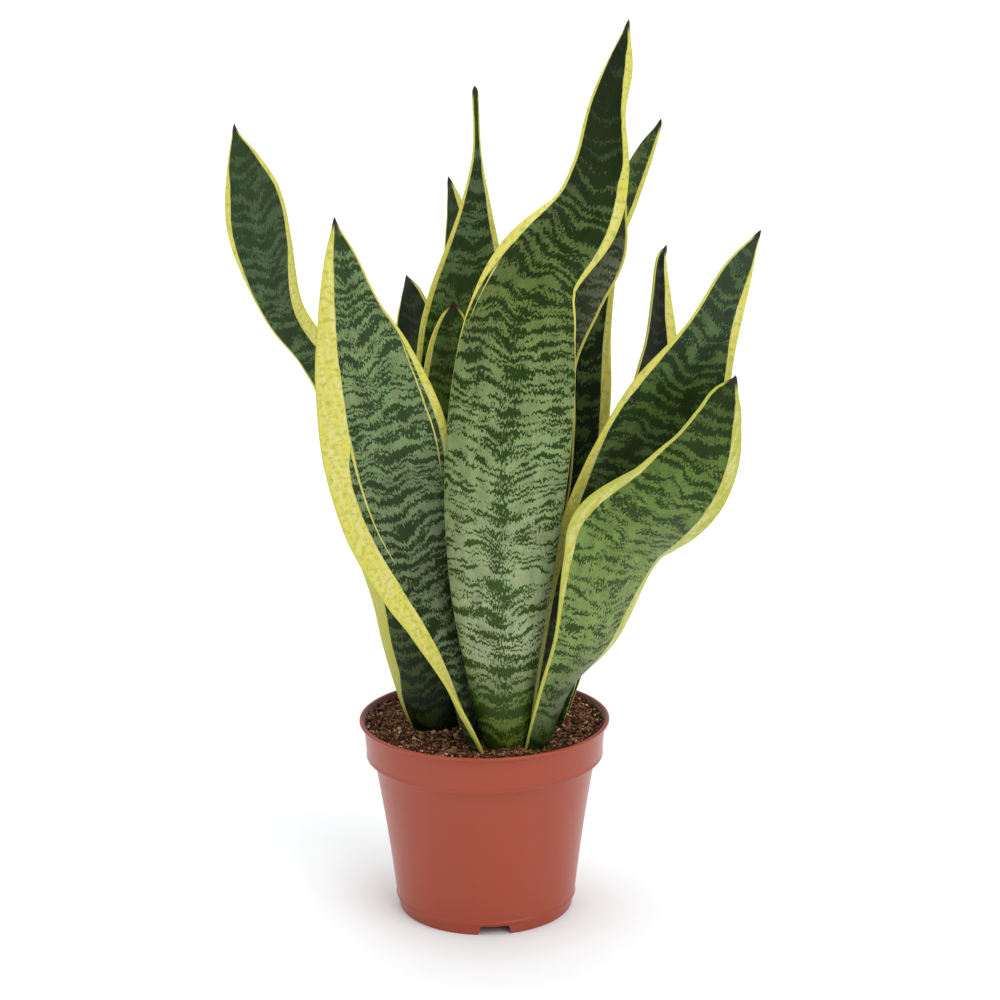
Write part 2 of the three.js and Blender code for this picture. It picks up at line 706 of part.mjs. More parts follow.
let soil = soilSolid().subtract(rhizomeSolid(GAP));
let rhizome = rhizomeSolid();
for (const leaf of LEAVES) {
  const room = footRoom(leaf);
  soil = soil.subtract(room);
  rhizome = rhizome.subtract(room);
}
plant.add(piece('soil', geometryOf(largestBody(soil)), material('potting_mix', 0x4a2f1c, 0.95)));
plant.add(piece('rhizome', geometryOf(largestBody(rhizome)), material('rhizome', 0xb98a4a, 0.7)));

for (const leaf of LEAVES) {
  const blade = bladeGeometry(leaf, rowPlaces(leaf.stations));
  plant.add(piece(leaf.name, blade, material(leaf.name, leaf.color, 0.45)));
}

export default plant;
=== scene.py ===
"""A snake plant in a plastic nursery pot: the looks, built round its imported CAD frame.

The scene is in metres, in the CAD's own frame: +Z up, the front towards -Y, and
the origin on the pot's axis where its foot ring stands. Sizes are written in
millimetres, as in the CAD source, and MM turns them into metres.
"""

import logging
from dataclasses import dataclass, field
from enum import Enum
from math import pi, radians
from typing import Any, Mapping, NamedTuple, Sequence

import bpy
import numpy as np
from mathutils import Matrix, Vector


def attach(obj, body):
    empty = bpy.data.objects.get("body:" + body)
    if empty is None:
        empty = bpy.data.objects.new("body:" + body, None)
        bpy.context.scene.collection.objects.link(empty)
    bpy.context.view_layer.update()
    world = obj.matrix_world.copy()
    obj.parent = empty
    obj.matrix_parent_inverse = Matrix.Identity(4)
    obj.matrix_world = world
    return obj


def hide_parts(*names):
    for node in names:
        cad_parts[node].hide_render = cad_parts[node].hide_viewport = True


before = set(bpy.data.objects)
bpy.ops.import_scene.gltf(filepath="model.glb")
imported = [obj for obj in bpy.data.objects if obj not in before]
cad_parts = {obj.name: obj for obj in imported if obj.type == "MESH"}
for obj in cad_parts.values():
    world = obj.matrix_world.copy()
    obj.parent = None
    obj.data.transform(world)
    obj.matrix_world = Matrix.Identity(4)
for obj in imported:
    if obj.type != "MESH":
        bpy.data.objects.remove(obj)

LOG = logging.getLogger("snake_plant")
MM = 0.001
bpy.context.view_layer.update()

Knots = tuple[tuple[float, float], ...]
Stops = tuple[tuple[float, str], ...]
Socket = bpy.types.NodeSocket

ROOT_LEVEL = 78.0  # the lower end of the leaves, in the soil
SOIL_LEVEL = 91.2  # where the soil meets the pot's wall


# ---- Numbers and colours ----------------------------------------------------


def linear(code: str) -> tuple[float, float, float, float]:
    """The linear colour of an sRGB hex code.

    Args:
        code: the colour, as in "#a4553f".

    Returns:
        Red, green, blue and an opaque alpha, each from 0 to 1.
    """
    srgb = np.array([int(code[i : i + 2], 16) for i in (1, 3, 5)]) / 255
    bright = np.where(srgb <= 0.04045, srgb / 12.92, ((srgb + 0.055) / 1.055) ** 2.4)
    return (*bright.tolist(), 1.0)


def between(knots: Knots, where: np.ndarray) -> np.ndarray:
    """Straight lines through knots.

    Args:
        knots: pairs of a place and the value there, in order of place.
        where: the places to read.

    Returns:
        The value at each place, level beyond the first and the last knot.
    """
    places, values = np.array(knots, float).T
    return np.interp(where, places, values)


def catmull_rom(values: np.ndarray, place: np.ndarray) -> np.ndarray:
    """A smooth curve through rows of numbers.

    Between rows b and c, with a before and d after them, and t from 0 to 1:
    b + t/2 (c - a + t (2a - 5b + 4c - d + t (3(b - c) + d - a))).

    Args:
        values: one row of numbers per station.
        place: places along the curve, counted in stations from the first.

    Returns:
        One row of numbers per place.
    """
    last = len(values) - 1
    i = np.minimum(place.astype(int), last - 1)
    t = (place - i)[:, None]
    a, b, c, d = (values[np.clip(i + step, 0, last)] for step in (-1, 0, 1, 2))
    return b + t / 2 * (c - a + t * (2 * a - 5 * b + 4 * c - d + t * (3 * (b - c) + d - a)))


def lattice_noise(x: np.ndarray, y: np.ndarray, cell: float, seed: int) -> np.ndarray:
    """Smooth unevenness between -1 and 1.

    Random heights stand on a square lattice, and each point takes the four
    round it, weighted by 3s^2 - 2s^3 of its share s of the way across.

    Args:
        x: first coordinate of each point.
        y: second coordinate of each point.
        cell: the lattice's spacing, in the coordinates' unit.
        seed: which heights.

    Returns:
        The height at each point.
    """
    size = 256  # lattice points a side, after which the heights repeat
    heights = np.random.default_rng(seed).uniform(-1, 1, (size, size))
    across, down = x / cell, y / cell
    i, j = np.floor(across).astype(int), np.floor(down).astype(int)
    s, t = (share * share * (3 - 2 * share) for share in (across - i, down - j))
    here, beside = i % size, (i + 1) % size
    near, far = (
        heights[here, row % size] * (1 - s) + heights[beside, row % size] * s for row in (j, j + 1)
    )
    return near * (1 - t) + far * t


# ---- Meshes -----------------------------------------------------------------


def loop_faces(rows: int, around: int, first: int = 0) -> np.ndarray:
    """The quads of a tube whose rows of points close round.

    Args:
        rows: how many rows of points.
        around: how many points in a row.
        first: the number of the first point.

    Returns:
        The quads' corners, facing out where the rows run anticlockwise.
    """
    row, i = np.mgrid[0 : rows - 1, 0:around]
    here, ahead = row * around + i, row * around + (i + 1) % around
    return first + np.stack([here, ahead, ahead + around, here + around], -1).reshape(-1, 4)


def fan_faces(ring: int, around: int, pole: int, upward: bool) -> np.ndarray:
    """The triangles between a closed ring of points and one point.

    Args:
        ring: the number of the ring's first point.
        around: how many points the ring has.
        pole: the number of the single point.
        upward: whether the pole lies past the ring, or before it.

    Returns:
        The triangles' corners, facing out.
    """
    i = np.arange(around)
    here, ahead = ring + i, ring + (i + 1) % around
    corners = [here, ahead] if upward else [ahead, here]
    return np.stack([*corners, np.full(around, pole)], -1)


def new_piece(
    name: str,
    points: np.ndarray,
    faces: Sequence[np.ndarray],
    attributes: Mapping[str, np.ndarray] | None = None,
    smooth: bool = True,
) -> bpy.types.Object:
    """Puts arrays of points and faces into a new object.

    Args:
        name: the object's name.
        points: the corners, in millimetres.
        faces: arrays of corner numbers, one array for each count of corners.
        attributes: numbers kept at each point: one value, or three for a vector.
        smooth: whether the faces are shaded smoothly.

    Returns:
        The object, at the origin.
    """
    mesh = bpy.data.meshes.new(name)
    corners = np.concatenate([part.ravel() for part in faces])
    counts = np.concatenate([np.full(len(part), part.shape[1]) for part in faces])
    mesh.vertices.add(len(points))
    mesh.vertices.foreach_set("co", (points * MM).astype(np.float32).ravel())
    mesh.loops.add(len(corners))
    mesh.loops.foreach_set("vertex_index", corners.astype(np.int32))
    mesh.polygons.add(len(counts))
    mesh.polygons.foreach_set("loop_start", (np.cumsum(counts) - counts).astype(np.int32))
    mesh.polygons.foreach_set("use_smooth", np.full(len(counts), smooth))
    for label, values in (attributes or {}).items():
        vector = values.ndim == 2
        layer = mesh.attributes.new(label, "FLOAT_VECTOR" if vector else "FLOAT", "POINT")
        layer.data.foreach_set("vector" if vector else "value", values.astype(np.float32).ravel())
    mesh.update(calc_edges=True)
    piece = bpy.data.objects.new(name, mesh)
    bpy.context.scene.collection.objects.link(piece)
    return piece


def turned(name: str, profile: np.ndarray, sides: int) -> bpy.types.Object:
    """Turns a profile round the pot's axis into a closed shell.

    A point at radius r and height z of the profile, turned by an angle a, is
    (r cos a, r sin a, z). The profile's two ends lie on the axis, and each
    becomes one point.

    Args:
        name: the new object's name.
        profile: rows of radius and height, up the outside and back inside.
        sides: how many steps round the axis.

    Returns:
        The new object.
    """
    angle = np.arange(sides) * 2 * pi / sides
    radius, height = profile[1:-1].T[..., None]
    rings = np.stack(np.broadcast_arrays(radius * np.cos(angle), radius * np.sin(angle), height), -1)
    ends = [[0, 0, profile[0, 1]], [0, 0, profile[-1, 1]]]
    points = np.concatenate([rings.reshape(-1, 3), ends])
    count = len(rings) * sides
    quads = loop_faces(len(rings), sides)
    fans = [
        fan_faces(0, sides, count, upward=False),
        fan_faces(count - sides, sides, count + 1, upward=True),
    ]
    return new_piece(name, points, [quads, np.concatenate(fans)])


def rounded(corners: Sequence[tuple[float, float, float]], steps: int = 6) -> np.ndarray:
    """An outline with its corners rounded off.

    Each corner C gives way to the curve (1-t)^2 A + 2t(1-t) C + t^2 B, where A
    and B lie on its two sides at its rounding's distance from it.

    Args:
        corners: first coordinate, second coordinate and rounding of each
            corner. The first and last stay as they are.
        steps: how many steps each rounding takes.

    Returns:
        Rows of the two coordinates.
    """
    outline = np.array(corners, float)
    middle, size = outline[1:-1, :2], outline[1:-1, 2:]
    to_last, to_next = outline[:-2, :2] - middle, outline[2:, :2] - middle
    start = middle + to_last / np.linalg.norm(to_last, axis=1, keepdims=True) * size
    end = middle + to_next / np.linalg.norm(to_next, axis=1, keepdims=True) * size
    t = np.linspace(0, 1, steps + 1)[:, None, None]
    curve = (1 - t) ** 2 * start + 2 * t * (1 - t) * middle + t**2 * end
    joined = curve.transpose(1, 0, 2).reshape(-1, 2)
    whole = np.concatenate([outline[:1, :2], joined, outline[-1:, :2]])
    kept = np.linalg.norm(np.diff(whole, axis=0), axis=1) > 1e-6
    return whole[np.concatenate([[True], kept])]


def set_out(piece: bpy.types.Object, slot: str, *nodes: str) -> bpy.types.Object:
    """Lets a finished piece ride on the plant's one body.

    Args:
        piece: the finished piece.
        slot: the name of a material slot; not used.
        nodes: the CAD nodes that it stands for.

    Returns:
        The same piece.
    """
    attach(piece, "root")
    if nodes:
        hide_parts(*nodes)
    return piece


# ---- Material nodes ---------------------------------------------------------


class Graph:
    """The nodes of one material or world, put together one at a time."""

    def __init__(self, owner: bpy.types.Material | bpy.types.World) -> None:
        """Empties the owner's node tree.

        Args:
            owner: the material or world that the nodes belong to.
        """
        self.owner = owner
        owner.use_nodes = True
        self.tree = owner.node_tree
        self.tree.nodes.clear()

    def add(
        self,
        kind: str,
        *values: Any,
        out: int | str = 0,
        named: Mapping[int | str, Any] | None = None,
        stops: Stops = (),
        **settings: Any,
    ) -> Socket | None:
        """Adds one node with its settings and links.

        Args:
            kind: the node's type, without its ShaderNode prefix.
            values: a link or a number for each of its first inputs in turn;
                None leaves an input alone.
            out: which output to hand back.
            named: a link or a number for inputs by number or name.
            stops: for a colour ramp, its places from 0 to 1 and hex colours.
            settings: the node's own settings.

        Returns:
            The chosen output, or nothing for a node that has none.
        """
        node = self.tree.nodes.new("ShaderNode" + kind)
        for key, value in settings.items():
            setattr(node, key, value)
        for key, value in [*enumerate(values), *(named or {}).items()]:
            if isinstance(value, Socket):
                self.tree.links.new(value, node.inputs[key])
            elif value is not None:
                node.inputs[key].default_value = value
        for i, (place, code) in enumerate(stops):
            elements = node.color_ramp.elements
            element = elements[i] if i < 2 else elements.new(place)
            element.position, element.color = place, linear(code)
        return node.outputs[out] if len(node.outputs) else None


# ---- Finishes ---------------------------------------------------------------


class Patch(NamedTuple):
    """One noise on a blade, by the size of its patches in millimetres."""

    width: float
    length: float
    salt: float  # sets it apart from the blade's other noises
    detail: float = 1.0


CLOUD = Patch(6.0, 15.0, 6.6, detail=2.0)  # slow changes of tone and gloss
FIBRE = Patch(0.5, 40.0, 2.2, detail=2.0)  # the long fibres in the leaf
GRAIN = Patch(1.1, 1.6, 9.7, detail=2.0)
HUES = Patch(4.0, 9.0, 12.1)
RIDGES = Patch(3.4, 120.0, 9.4)  # the low ribs along the leaf
MOTTLE = Patch(3.0, 2.2, 7.7, detail=3.0)  # the olive spots in a margin
BLEACH = Patch(2.5, 12.0, 4.4)  # its paler streaks
STRAND = Patch(0.85, 9.0, 1.7)  # strands of tissue, which slip on one another
SWAY = Patch(13.0, 34.0, 4.1, detail=2.0)
WANDER = Patch(42.0, 20.0, 0.3)
FLECK = Patch(0.9, 1.5, 3.3, detail=2.0)
THREAD = Patch(0.6, 2.6, 5.3)

SEED_STEPS = (17.3, 5.1)  # how far from one leaf's noise to the next one's, over and along


class Spot(NamedTuple):
    """Where a point lies on its blade, as links to the blade's attributes."""

    over: Socket  # to the right of its middle
    along: Socket  # from its root
    to_tip: Socket
    margin: Socket  # how far inside the yellow margin
    inset: Socket  # how far from the middle of the thin yellow line
    line: Socket  # half the width of that line
    cover: Socket  # how much of the ground the marks cover
    streak: Socket  # how streaked its middle is
    from_edge: Socket
    height: Socket  # above the pot's foot, in metres


@dataclass(frozen=True)
class LeafSkin:
    """Waxy, leathery leaf tissue, as grown: half-matt, with soft long highlights.

    The dark marks are laid down in broad bands and fine lines across the leaf,
    but each thin strand of tissue carries them a little higher or lower than
    the strand beside it, which gives them their ragged teeth. Lengths are in
    millimetres.
    """

    name: str
    seed: int
    ground: Stops  # the pale green between the marks, by height
    mark: Stops  # the dark green, by height

    midrib: float = 7.0  # how far from the middle the marks hang lower and slip more
    core: float = 2.5  # the power that narrows the midrib to its threads
    tooth: float = 2.8  # how far a strand's marks can slip along the leaf
    middle_tooth: float = 1.6  # how much further they can slip at the midrib
    sway: float = 7.0  # how far a band wanders along the leaf on its way over
    dip: float = 3.0  # how much lower a band lies at the middle
    band_pitch: float = 9.0
    band_drift: float = 2.4  # how much the bands crowd together, in bands
    swell: float = 2.6  # how much thicker and thinner a band grows on its way
    swell_width: float = 11.0
    fine_pitch: float = 3.2
    fine_drift: float = 5.0
    fine: float = 0.24  # how much of the bare ground the fine lines cover
    fine_loss: float = 0.3  # how much less, where the bands cover everything
    fine_breaks: float = 2.4  # how much the fine lines break off
    break_width: float = 9.0
    break_length: float = 1.2  # in pitches
    flecks: float = 1.5  # how much flecks fray both
    threads: tuple[float, float] = (3.8, 0.6)  # the contrast and the amount of the threads
    mark_blur: float = 0.03  # the softness of a mark's edge, in pitches

    fibre_tone: float = 0.35  # how much the fibres count in the tone, beside the clouds
    grain_tone: float = 0.5
    tone: tuple[float, float] = (0.82, 1.18)  # the darkest and the lightest green
    hue: tuple[float, float] = (0.487, 0.509)  # 0.5 leaves a green as it is

    cream: str = "#d2cb5c"
    bleached: str = "#dcd394"
    olive: str = "#a3a744"
    bleaching: float = 0.6  # how pale the streaks get
    bleach_edge: tuple[float, float] = (0.5, 2.5)  # how far in they start and are full
    spots: float = 0.75  # how olive the spots get
    rim: float = 0.5  # how olive the very edge is: painted shade along the leaf's edge
    rim_edge: tuple[float, float] = (0.4, 0.1)  # how far in that painted shade starts and is full
    old: float = 0.9  # how olive the margin is at the foot of its greening
    greening: tuple[float, float] = (125.0, 88.0)  # where the margin turns green, going down
    fray: float = 0.7  # how far the spots shift the margin's inner side
    fray_edge: tuple[float, float] = (0.15, 0.6)  # how far inside it the yellow starts and is full
    line_blur: float = 0.25
    line_strength: float = 0.9

    awl: str = "#2f2c1e"
    awl_length: tuple[float, float] = (6.0, 3.0)  # where its colour starts and is full

    ribs: float = 3.0  # how high the ribs stand beside the fibres
    relief: tuple[float, float] = (0.35, 0.00012)  # strength, and depth in metres
    roughness: float = 0.42
    gloss: tuple[float, float] = (-0.05, 0.06)  # how far the clouds shift it
    ior: float = 1.38  # wet tissue under wax
    specular: float = 0.22

    def spot(self, graph: Graph) -> Spot:
        """Reads the blade's attributes.

        Args:
            graph: the material's nodes.

        Returns:
            A link to each of them.
        """
        parts = []
        for label in ("blade", "edge", "pattern"):
            vector = graph.add("Attribute", attribute_name=label, out="Vector")
            parts += [graph.add("SeparateXYZ", vector, out=axis) for axis in range(3)]
        return Spot(*parts, graph.add("SeparateXYZ", graph.add("TexCoord", out="Object"), out=2))

    def ramp(self, graph: Graph, height: Socket, stops: Stops) -> Socket:
        """A colour that changes with height.

        Args:
            graph: the material's nodes.
            height: the height, in metres.
            stops: heights in millimetres and the colours there.

        Returns:
            The colour.
        """
        low, high = stops[0][0], stops[-1][0]
        share = graph.add("MapRange", height, low * MM, high * MM, 0.0, 1.0)
        shares = tuple(((at - low) / (high - low), code) for at, code in stops)
        return graph.add("ValToRGB", share, stops=shares)

    def noise(self, graph: Graph, over: Socket, along: Socket, patch: Patch) -> Socket:
        """Noise about 0.5 on the blade, read from a place that the seed picks.

        Args:
            graph: the material's nodes.
            over: how far to the right each point counts as being.
            along: how far along the blade it counts as being.
            patch: the size of the noise's patches.

        Returns:
            The noise.
        """
        start = [step * self.seed + patch.salt for step in SEED_STEPS]
        x = graph.add("Math", over, 1 / patch.width, start[0], operation="MULTIPLY_ADD")
        y = graph.add("Math", along, 1 / patch.length, start[1], operation="MULTIPLY_ADD")
        place = graph.add("CombineXYZ", x, y)
        return graph.add(
            "TexNoise", noise_dimensions="2D",
            named={"Vector": place, "Scale": 1.0, "Detail": patch.detail, "Roughness": 0.6},
        )

    def centred(self, graph: Graph, over: Socket, along: Socket, patch: Patch) -> Socket:
        """The same noise about nought."""
        return graph.add("Math", self.noise(graph, over, along, patch), 0.5, operation="SUBTRACT")

    def lines(
        self, graph: Graph, moved: Socket, pitch: float, drift: Socket, share: Socket, rough: Socket,
    ) -> Socket:
        """Wavy lines across the blade: 1 on a line and 0 between two.

        Args:
            graph: the material's nodes.
            moved: how far along the blade each point counts as being.
            pitch: from one line to the next.
            drift: noise that wanders off with the lines, in lines.
            share: how much of the blade they cover, from 0 to 1.
            rough: noise that widens, thins and breaks them, as a share.

        Returns:
            Where the lines are.
        """
        beat = graph.add("Math", moved, 1 / pitch, drift, operation="MULTIPLY_ADD")
        away = graph.add("Math", beat, 0.5, operation="PINGPONG")
        room = graph.add("Math", share, rough, operation="ADD")
        gap = graph.add("Math", room, 0.5, operation="MULTIPLY")
        gap = graph.add("Math", gap, away, operation="SUBTRACT")
        return graph.add("MapRange", gap, -self.mark_blur, self.mark_blur, 0.0, 1.0,
                         interpolation_type="SMOOTHSTEP")

    def marks(self, graph: Graph, spot: Spot) -> Socket:
        """How far each point is dark: 0 on the pale ground, 1 inside a mark.

        Broad bands and fine lines run over the blade. Noise makes both wander,
        swell and break off, flecks fray them, and short threads along the
        blade's middle join them where it is streaked. How near a point is to
        the middle counts as exp(-(over/midrib)^2).

        Args:
            graph: the material's nodes.
            spot: where the point lies on the blade.

        Returns:
            The darkness.
        """
        over, along = spot.over, spot.along
        middle = graph.add("Math", over, self.midrib, operation="DIVIDE")
        middle = graph.add("Math", middle, 2.0, operation="POWER")
        middle = graph.add("Math", middle, -1.0, operation="MULTIPLY")
        middle = graph.add("Math", middle, operation="EXPONENT")
        core = graph.add("Math", middle, self.core, operation="POWER")
        slip = graph.add("Math", middle, self.middle_tooth, self.tooth, operation="MULTIPLY_ADD")
        teeth = self.centred(graph, over, along, STRAND)
        moved = graph.add("Math", teeth, slip, along, operation="MULTIPLY_ADD")
        sway = self.centred(graph, over, along, SWAY)
        moved = graph.add("Math", sway, self.sway, moved, operation="MULTIPLY_ADD")
        moved = graph.add("Math", middle, self.dip, moved, operation="MULTIPLY_ADD")

        wander = self.centred(graph, over, moved, WANDER)
        drift = graph.add("Math", wander, self.band_drift, operation="MULTIPLY")
        fine_drift = graph.add("Math", wander, self.fine_drift, operation="MULTIPLY")
        bulge = Patch(self.swell_width, self.band_pitch, 8.9, detail=1.5)
        swell = self.centred(graph, over, moved, bulge)
        flecks = self.centred(graph, over, along, FLECK)
        rough = graph.add("Math", flecks, self.flecks, operation="MULTIPLY")
        threads = graph.add("Math", self.centred(graph, over, along, THREAD), *self.threads,
                            operation="MULTIPLY_ADD")
        threads = graph.add("Math", threads, spot.streak, operation="MULTIPLY")
        rough = graph.add("Math", threads, core, rough, operation="MULTIPLY_ADD")
        broad_rough = graph.add("Math", swell, self.swell, rough, operation="MULTIPLY_ADD")
        broad = self.lines(graph, moved, self.band_pitch, drift, spot.cover, broad_rough)
        gap = Patch(self.break_width, self.fine_pitch * self.break_length, 6.1)
        breaks = self.centred(graph, over, moved, gap)
        fine_rough = graph.add("Math", breaks, self.fine_breaks, rough, operation="MULTIPLY_ADD")
        share = graph.add("Math", spot.cover, -self.fine_loss, self.fine, operation="MULTIPLY_ADD")
        fine = self.lines(graph, moved, self.fine_pitch, fine_drift, share, fine_rough)
        return graph.add("Math", broad, fine, operation="MAXIMUM")

    def green(self, graph: Graph, spot: Spot, cloud: Socket, fibre: Socket) -> Socket:
        """The leaf's green: the pale ground, the dark marks and small changes of tone and hue.

        Args:
            graph: the material's nodes.
            spot: where the point lies on the blade.
            cloud: slow noise.
            fibre: noise in long fibres.

        Returns:
            The colour.
        """
        ground = self.ramp(graph, spot.height, self.ground)
        mark = self.ramp(graph, spot.height, self.mark)
        grain = self.noise(graph, spot.over, spot.along, GRAIN)
        dark = self.marks(graph, spot)
        green = graph.add("Mix", dark, data_type="RGBA", out=2, named={6: ground, 7: mark})
        tone = graph.add("Math", fibre, self.fibre_tone, cloud, operation="MULTIPLY_ADD")
        tone = graph.add("Math", grain, self.grain_tone, tone, operation="MULTIPLY_ADD")
        tone = graph.add("MapRange", tone, 0.70, 1.15, *self.tone)
        hues = self.noise(graph, spot.over, spot.along, HUES)
        hue = graph.add("MapRange", hues, 0.3, 0.7, *self.hue)
        return graph.add("HueSaturation", named={"Hue": hue, "Value": tone, "Color": green})

    def yellow(self, graph: Graph, spot: Spot, motley: Socket) -> Socket:
        """The margin's yellow: cream with paler streaks, olive spots, an olive foot and an olive rim of
        painted shade.

        Args:
            graph: the material's nodes.
            spot: where the point lies on the blade.
            motley: the noise of the spots.

        Returns:
            The colour.
        """
        high, base = self.greening
        mottle = graph.add("MapRange", motley, 0.46, 0.72, 0.0, self.spots)
        low = graph.add("MapRange", spot.height, high * MM, base * MM, 0.0, self.old)
        mottle = graph.add("Math", mottle, low, operation="MAXIMUM")
        inner = graph.add("MapRange", spot.from_edge, *self.bleach_edge, 0.0, 1.0)
        streaks = self.noise(graph, spot.over, spot.along, BLEACH)
        pale = graph.add("MapRange", streaks, 0.38, 0.66, 0.0, self.bleaching)
        pale = graph.add("Math", pale, inner, operation="MULTIPLY")
        cream = graph.add("Mix", pale, data_type="RGBA", out=2,
                          named={6: linear(self.cream), 7: linear(self.bleached)})
        # painted shade: an olive line along the leaf's very edge
        painted_edge_shade = graph.add("MapRange", spot.from_edge, *self.rim_edge, 0.0, self.rim)
        mottle = graph.add("Math", mottle, painted_edge_shade, operation="MAXIMUM")
        return graph.add("Mix", mottle, data_type="RGBA", out=2,
                         named={6: cream, 7: linear(self.olive)})

    def yellow_share(self, graph: Graph, spot: Spot, motley: Socket) -> Socket:
        """Where the leaf is yellow: in its frayed margin and in the thin line beside it.

        Args:
            graph: the material's nodes.
            spot: where the point lies on the blade.
            motley: the noise that frays the margin.

        Returns:
            1 where it is yellow, 0 where it is green.
        """
        frayed = graph.add("Math", motley, self.fray, spot.margin, operation="MULTIPLY_ADD")
        margin = graph.add("MapRange", frayed, *self.fray_edge, 0.0, 1.0,
                           interpolation_type="SMOOTHSTEP")
        away = graph.add("Math", spot.inset, operation="ABSOLUTE")
        line = graph.add("Math", spot.line, away, operation="SUBTRACT")
        line = graph.add("MapRange", line, 0.0, self.line_blur, 0.0, self.line_strength)
        return graph.add("Math", margin, line, operation="MAXIMUM")

    def build(self) -> bpy.types.Material:
        """Builds the material on the blade's own attributes.

        Returns:
            The material.
        """
        graph = Graph(bpy.data.materials.new(self.name))
        spot = self.spot(graph)
        cloud = self.noise(graph, spot.over, spot.along, CLOUD)
        fibre = self.noise(graph, spot.over, spot.along, FIBRE)
        motley = self.noise(graph, spot.over, spot.along, MOTTLE)
        green = self.green(graph, spot, cloud, fibre)
        yellow = self.yellow(graph, spot, motley)
        share = self.yellow_share(graph, spot, motley)
        color = graph.add("Mix", share, data_type="RGBA", out=2, named={6: green, 7: yellow})
        awl = graph.add("MapRange", spot.to_tip, *self.awl_length, 0.0, 1.0)
        color = graph.add("Mix", awl, data_type="RGBA", out=2,
                          named={6: color, 7: linear(self.awl)})

        ridges = self.noise(graph, spot.over, spot.along, RIDGES)
        relief = graph.add("Math", ridges, self.ribs, fibre, operation="MULTIPLY_ADD")
        bump = graph.add("Bump", *self.relief, named={"Height": relief})
        shine, dull = (self.roughness + shift for shift in self.gloss)
        gloss = graph.add("MapRange", cloud, 0.3, 0.7, shine, dull)
        skin = graph.add(
            "BsdfPrincipled",
            named={"Base Color": color, "Roughness": gloss, "IOR": self.ior, "Normal": bump,
                   "Specular IOR Level": self.specular},
        )
        graph.add("OutputMaterial", skin)
        return graph.owner


@dataclass(frozen=True)
class PotPlastic:
    """Injection-moulded polypropylene: terracotta-coloured, satin, with a little dust and painted shade
    inside the mouth.
    """

    shell: str = "#9c4029"
    worn: str = "#a0452e"
    wear: float = 0.8
    clouds: float = 24.0  # worn clouds in a metre, so one is about 42 mm across
    grain: float = 320.0  # grains in a metre: 3 mm each, coarse enough to show
    # dark brown on the inner wall near the mouth: partly soil dust, partly painted shade
    dust_and_shade: str = "#3d2217"
    dust_and_shade_share: float = 0.9
    dust_and_shade_line: tuple[float, float] = (86.0, 89.0)  # the height where the dust and painted shade start and are full
    dust_and_shade_turn: tuple[float, float] = (-8.0, -30.0)  # the same for how far out the wall faces
    relief: tuple[float, float] = (0.08, 0.00005)  # strength, and depth in metres
    roughness: float = 0.31
    gloss: tuple[float, float] = (-0.06, 0.07)  # how far the clouds shift it
    ior: float = 1.46
    specular: float = 0.42

    def build(self) -> bpy.types.Material:
        """Builds the material on Object coordinates, with a fine moulded grain, and dust and painted
        shade inside the mouth.

        How far out the wall faces is its distance from the axis times the
        outward share of its normal, which is negative on the inside.

        Returns:
            The material.
        """
        graph = Graph(bpy.data.materials.new("moulded_polypropylene"))
        place = graph.add("TexCoord", out="Object")
        height = graph.add("SeparateXYZ", place, out=2)
        cloud = graph.add("TexNoise", named={"Vector": place, "Scale": self.clouds, "Detail": 0.0})
        grain = graph.add("TexNoise", named={"Vector": place, "Scale": self.grain, "Detail": 1.0})
        share = graph.add("MapRange", cloud, 0.0, 1.0, 0.0, self.wear)
        color = graph.add("Mix", share, data_type="RGBA", out=2,
                          named={6: linear(self.shell), 7: linear(self.worn)})
        axis = graph.add("VectorMath", place, (1.0, 1.0, 0.0), operation="MULTIPLY")
        facing = graph.add("TexCoord", out="Normal")
        outward = graph.add("VectorMath", axis, facing, operation="DOT_PRODUCT", out="Value")
        start, full = self.dust_and_shade_turn
        inside = graph.add("MapRange", outward, start * MM, full * MM, 0.0, 1.0)
        low, high = self.dust_and_shade_line
        above = graph.add("MapRange", height, low * MM, high * MM, 0.0, self.dust_and_shade_share)
        # dust and painted shade on the inner wall, high in the mouth
        dust_and_shade_share = graph.add("Math", inside, above, operation="MULTIPLY")
        color = graph.add("Mix", dust_and_shade_share, data_type="RGBA", out=2, named={6: color, 7: linear(self.dust_and_shade)})
        bump = graph.add("Bump", *self.relief, named={"Height": grain})
        shine, dull = (self.roughness + shift for shift in self.gloss)
        gloss = graph.add("MapRange", cloud, 0.0, 1.0, shine, dull)
        plastic = graph.add(
            "BsdfPrincipled",
            named={"Base Color": color, "Roughness": gloss, "IOR": self.ior, "Normal": bump,
                   "Specular IOR Level": self.specular},
        )
        graph.add("OutputMaterial", plastic)
        return graph.owner


@dataclass(frozen=True)
class PottingMix:
    """Damp coir and peat crumbs: dark red-brown, quite matt, each crumb its own tint."""

    name: str
    tints: Stops
    grit: float = 0.7  # the grain on a crumb, in millimetres
    speckle: float = 0.5  # how far the grain shifts a crumb's tint
    relief: tuple[float, float] = (0.6, 0.0003)  # strength, and depth in metres
    roughness: float = 0.92
    ior: float = 1.4
    specular: float = 0.3

    def build(self) -> bpy.types.Material:
        """Builds the material on Object coordinates and each crumb's own tint.

        Returns:
            The material.
        """
        graph = Graph(bpy.data.materials.new(self.name))
        place = graph.add("TexCoord", out="Object")
        tint = graph.add("Attribute", attribute_name="tint", out="Fac")
        scale = 1 / (self.grit * MM)
        grain = graph.add("TexNoise", named={"Vector": place, "Scale": scale, "Detail": 3.0})
        share = graph.add("Math", grain, self.speckle, tint, operation="MULTIPLY_ADD")
        share = graph.add("Math", share, self.speckle / 2, operation="SUBTRACT")
        color = graph.add("ValToRGB", share, stops=self.tints)
        bump = graph.add("Bump", *self.relief, named={"Height": grain})
        crumb = graph.add(
            "BsdfPrincipled",
            named={"Base Color": color, "Roughness": self.roughness, "IOR": self.ior, "Normal": bump,
                   "Specular IOR Level": self.specular},
        )
        graph.add("OutputMaterial", crumb)
        return graph.owner


